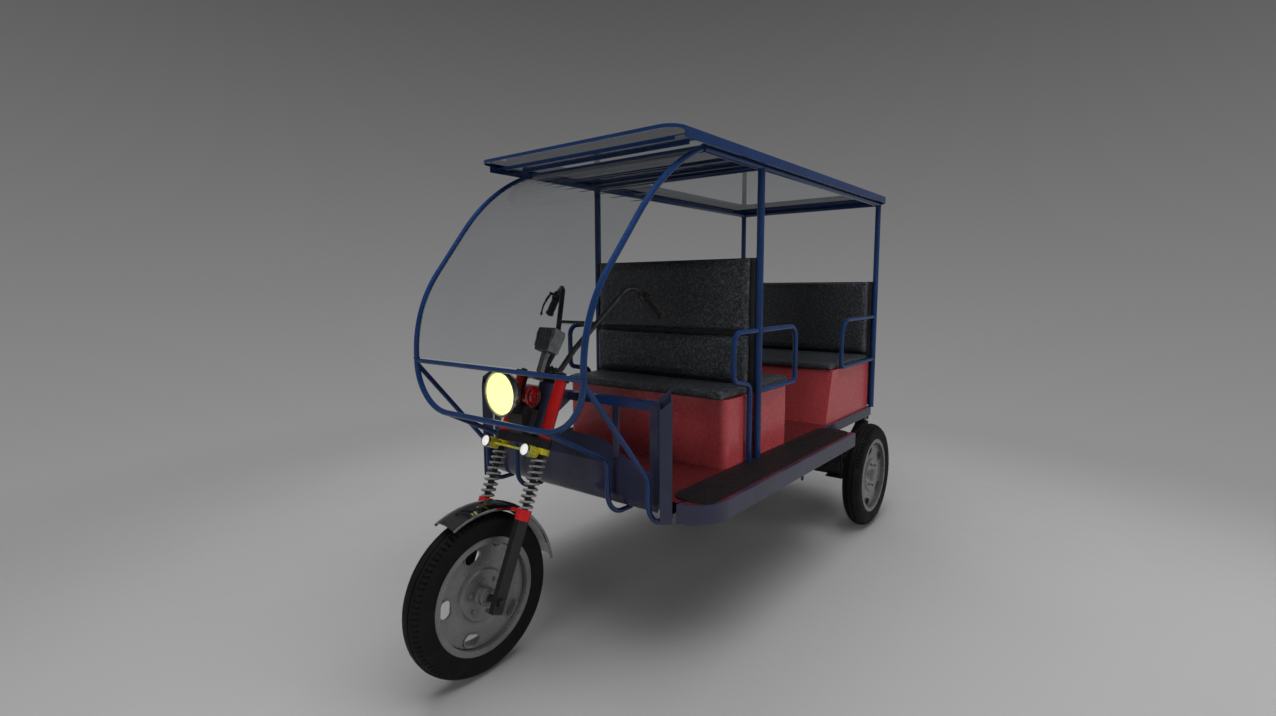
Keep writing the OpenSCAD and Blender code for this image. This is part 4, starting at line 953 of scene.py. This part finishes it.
class RICKSHAW_OT_running_gear(bpy.types.Operator):
    """Spring bolts, shackle pins, and the bolts of the drums and the motor"""

    bl_idname = "rickshaw.running_gear"
    bl_label = "Running gear"

    def execute(self, context):
        lo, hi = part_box("leaf_springs")
        axle = Vector(JOINTS["rear_wheel_left_spin"]["pos_m"])
        spring = hi.y - SPRING_HALF
        stack = max(p.z for p in points("leaf_springs") if abs(p.x - axle.x) < 0.03)
        bm = bmesh.new()
        for way in (-1, 1):
            for x in (-0.034, 0.034):
                top = stack + 0.0062
                low = axle.z - 0.040
                path = [Vector((axle.x + x, way * (spring - U_BOLT_HALF), low))]
                for i in range(9):
                    a = math.pi * i / 8
                    y, z = spring - U_BOLT_HALF * math.cos(a), top - 0.012 + 0.012 * math.sin(a)
                    path.append(Vector((axle.x + x, way * y, z)))
                path.append(Vector((axle.x + x, way * (spring + U_BOLT_HALF), low)))
                add_sweep(bm, path, [0.0055] * len(path), 12, 1.0, (1, 0, 0))
                for y in (-U_BOLT_HALF, U_BOLT_HALF):
                    spot = (axle.x + x, way * (spring + y), axle.z - 0.032)
                    add_bolt(bm, spot, (0, 0, -1), 0.018, 0.009)
            plate = (axle.x - 0.048, way * spring - 0.046, axle.z - 0.0400)
            add_block(bm, plate, (axle.x + 0.048, way * spring + 0.046, axle.z - 0.0333), 0.002, 2)
            for x in (lo.x + 0.014, hi.x - 0.014):
                for face in (-1, 1):
                    spot = (x, way * spring + face * (SPRING_HALF + 0.0002), hi.z - 0.014)
                    add_bolt(bm, spot, (0, face, 0), 0.022, 0.009)
        finish_piece(bm, "spring_bolts", SURFACES["axle_black"], "chassis")

        bm = bmesh.new()
        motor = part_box("drive_motor")
        middle = (motor[0] + motor[1]) / 2
        for i in range(6):
            a = math.radians(60 * i + 30)
            ring = Vector((0, math.cos(a), math.sin(a)))
            spot = Vector((motor[1].x - 0.0178, middle.y, middle.z)) + ring * MOTOR_CIRCLE
            add_bolt(bm, spot, (1, 0, 0), 0.014, 0.006)
        for way in (-1, 1):
            for i in range(8):
                spot = axle + spoke(45 * i) * DRUM_CIRCLE
                add_bolt(bm, (spot.x, way * (DRUM_FACE - 0.0002), spot.z), (0, -way, 0), 0.013, 0.006)
        finish_piece(bm, "motor_bolts", SURFACES["motor_grey"], "chassis")
        return {"FINISHED"}


# Stage

LAMPS = (
    # name, place, power in watts, side of the panel
    ("key", (0.10, 0.15, 4.60), 410.0, 5.6),
    ("side_fill", (-1.3, 4.8, 1.5), 85.0, 2.2),
    ("front_fill", (5.2, 0.9, 1.2), 80.0, 2.0),
    ("back_fill", (-4.0, -3.0, 1.4), 50.0, 2.4),
)
AIM = Vector((0, 0, 0.7))  # where the lamps point
BACKDROP = ((0.0, 0.40), (0.588, 0.209), (1.0, 0.082))  # greys from low to high
BACKDROP_SPAN = (-0.6, 0.42)
AMBIENT = 0.04
FLOOR_HALF = 60.0
FLOOR_FADE = (2.0, 4.6)  # where the floor starts to clear and where it has gone
EYE = (2.3758, 1.6341, 1.2738)
EYE_TURN = (218.286, 6.416, -0.241)  # yaw, pitch and roll in degrees
SENSOR, FOCAL = 36, 17.58


def stage_floor(scene):
    """A floor that clears with distance, so that the backdrop shows past it."""
    colour = tuple(scene.rickshaw_colours.floor)
    bm = bmesh.new()
    bmesh.ops.create_grid(bm, x_segments=1, y_segments=1, size=FLOOR_HALF)
    mesh = bpy.data.meshes.new("studio_floor")
    bm.to_mesh(mesh)
    bm.free()
    floor = bpy.data.objects.new("studio_floor", mesh)
    scene.collection.objects.link(floor)
    s = Surface("studio_floor")
    s.colour(s.noise(0.4, 2.0), shades(colour, (0.3, 0.98), (0.7, 1.02)))
    s.rough(s.noise(3.0), 0.55, 0.7)
    far = s.tree.nodes.new("ShaderNodeVectorMath")
    far.operation = "LENGTH"
    s.tree.links.new(s.coords, far.inputs[0])
    fade = s.tree.nodes.new("ShaderNodeMapRange")
    fade.interpolation_type = "SMOOTHSTEP"
    for name, number in zip(RANGE, (*FLOOR_FADE, 1.0, 0.0)):
        fade.inputs[name].default_value = number
    s.tree.links.new(far.outputs["Value"], fade.inputs["Value"])
    s.tree.links.new(fade.outputs["Result"], s.bsdf.inputs["Alpha"])
    mesh.materials.append(s.mat)


def stage_backdrop(scene):
    """A grey backdrop where it is seen or mirrored, and a dim even light everywhere else."""
    world = bpy.data.worlds.new("studio")
    scene.world = world
    world.use_nodes = True
    tree = world.node_tree
    back = tree.nodes["Background"]
    path = tree.nodes.new("ShaderNodeLightPath")
    seen = path.outputs["Is Camera Ray"]
    for kind in ("Is Glossy Ray", "Is Transmission Ray"):
        either = tree.nodes.new("ShaderNodeMath")
        either.operation = "MAXIMUM"
        tree.links.new(seen, either.inputs[0])
        tree.links.new(path.outputs[kind], either.inputs[1])
        seen = either.outputs[0]
    coords = tree.nodes.new("ShaderNodeTexCoord")
    split = tree.nodes.new("ShaderNodeSeparateXYZ")
    tree.links.new(coords.outputs["Generated"], split.inputs["Vector"])
    height = tree.nodes.new("ShaderNodeMapRange")
    for name, number in zip(RANGE, BACKDROP_SPAN):
        height.inputs[name].default_value = number
    tree.links.new(split.outputs["Z"], height.inputs["Value"])
    ramp = tree.nodes.new("ShaderNodeValToRGB")
    ramp.color_ramp.elements.new(BACKDROP[1][0])
    for element, (place, grey) in zip(ramp.color_ramp.elements, BACKDROP):
        element.position = place
        element.color = (grey, grey, grey, 1.0)
    tree.links.new(height.outputs["Result"], ramp.inputs["Fac"])
    mix = tree.nodes.new("ShaderNodeMix")
    mix.data_type = "RGBA"
    tree.links.new(seen, mix.inputs["Factor"])
    ambient, shown = (i for i in mix.inputs if i.name in ("A", "B") and i.type == "RGBA")
    ambient.default_value = (AMBIENT, AMBIENT, AMBIENT, 1.0)
    tree.links.new(ramp.outputs["Color"], shown)
    tree.links.new(next(o for o in mix.outputs if o.type == "RGBA"), back.inputs["Color"])
    back.inputs["Strength"].default_value = 1.0


def stage_lamps(scene):
    """Square lamps that light the part but don't show in its glass."""
    for name, place, energy, size in LAMPS:
        light = bpy.data.lights.new(name, "AREA")
        light.energy = energy
        light.size = size
        lamp = bpy.data.objects.new(name, light)
        lamp.location = place
        lamp.rotation_euler = (AIM - lamp.location).to_track_quat("-Z", "Y").to_euler()
        lamp.visible_transmission = False
        lamp.visible_glossy = False
        scene.collection.objects.link(lamp)


def stage_camera(scene):
    view = bpy.data.cameras.new("camera")
    view.sensor_width = SENSOR
    view.lens = FOCAL
    eye = bpy.data.objects.new("camera", view)
    scene.collection.objects.link(eye)
    yaw, pitch, roll = (math.radians(a) for a in EYE_TURN)
    ahead = Vector((math.cos(yaw) * math.cos(pitch), math.sin(yaw) * math.cos(pitch), -math.sin(pitch)))
    right = ahead.cross(Vector((0, 0, 1))).normalized()
    up = right.cross(ahead)
    side = math.cos(roll) * right + math.sin(roll) * up
    top = -math.sin(roll) * right + math.cos(roll) * up
    m = Matrix((side, top, -ahead)).transposed().to_4x4()
    m.translation = EYE
    eye.matrix_world = m
    scene.camera = eye


class RICKSHAW_OT_stage(bpy.types.Operator):
    """Sets the floor, the backdrop, the lamps and the camera"""

    bl_idname = "rickshaw.stage"
    bl_label = "Stage"

    def execute(self, context):
        for step in (stage_floor, stage_backdrop, stage_lamps, stage_camera):
            step(context.scene)
        context.scene.view_settings.view_transform = "Standard"
        return {"FINISHED"}


class RICKSHAW_PT_sidebar(bpy.types.Panel):
    """Lists the pieces of the rickshaw with their sizes and colours"""

    bl_idname = "RICKSHAW_PT_sidebar"
    bl_label = "Rickshaw"
    bl_space_type = "VIEW_3D"
    bl_region_type = "UI"
    bl_category = "Rickshaw"

    def draw(self, context):
        layout = self.layout
        for cls in OPERATORS:
            layout.operator(cls.bl_idname)
        for group in (context.scene.rickshaw_sizes, context.scene.rickshaw_colours):
            box = layout.box()
            for name in group.__annotations__:
                box.prop(group, name)


OPERATORS = (
    RICKSHAW_OT_surfaces, RICKSHAW_OT_tyres, RICKSHAW_OT_wheel_fittings, RICKSHAW_OT_fork_trim,
    RICKSHAW_OT_lamps, RICKSHAW_OT_controls, RICKSHAW_OT_cushions, RICKSHAW_OT_mat_ribs,
    RICKSHAW_OT_body_trim, RICKSHAW_OT_roof_sheet, RICKSHAW_OT_running_gear, RICKSHAW_OT_stage,
)
CLASSES = (RickshawColours, RickshawSizes) + OPERATORS + (RICKSHAW_PT_sidebar,)


def register():
    for cls in CLASSES:
        bpy.utils.register_class(cls)
    bpy.types.Scene.rickshaw_colours = bpy.props.PointerProperty(type=RickshawColours)
    bpy.types.Scene.rickshaw_sizes = bpy.props.PointerProperty(type=RickshawSizes)


def unregister():
    del bpy.types.Scene.rickshaw_sizes
    del bpy.types.Scene.rickshaw_colours
    for cls in reversed(CLASSES):
        bpy.utils.unregister_class(cls)


def main():
    register()
    bpy.ops.rickshaw.surfaces()
    bpy.ops.rickshaw.tyres()
    bpy.ops.rickshaw.wheel_fittings()
    bpy.ops.rickshaw.fork_trim()
    bpy.ops.rickshaw.lamps()
    bpy.ops.rickshaw.controls()
    bpy.ops.rickshaw.cushions()
    bpy.ops.rickshaw.mat_ribs()
    bpy.ops.rickshaw.body_trim()
    bpy.ops.rickshaw.roof_sheet()
    bpy.ops.rickshaw.running_gear()
    bpy.ops.rickshaw.stage()


if __name__ == "__main__":
    main()
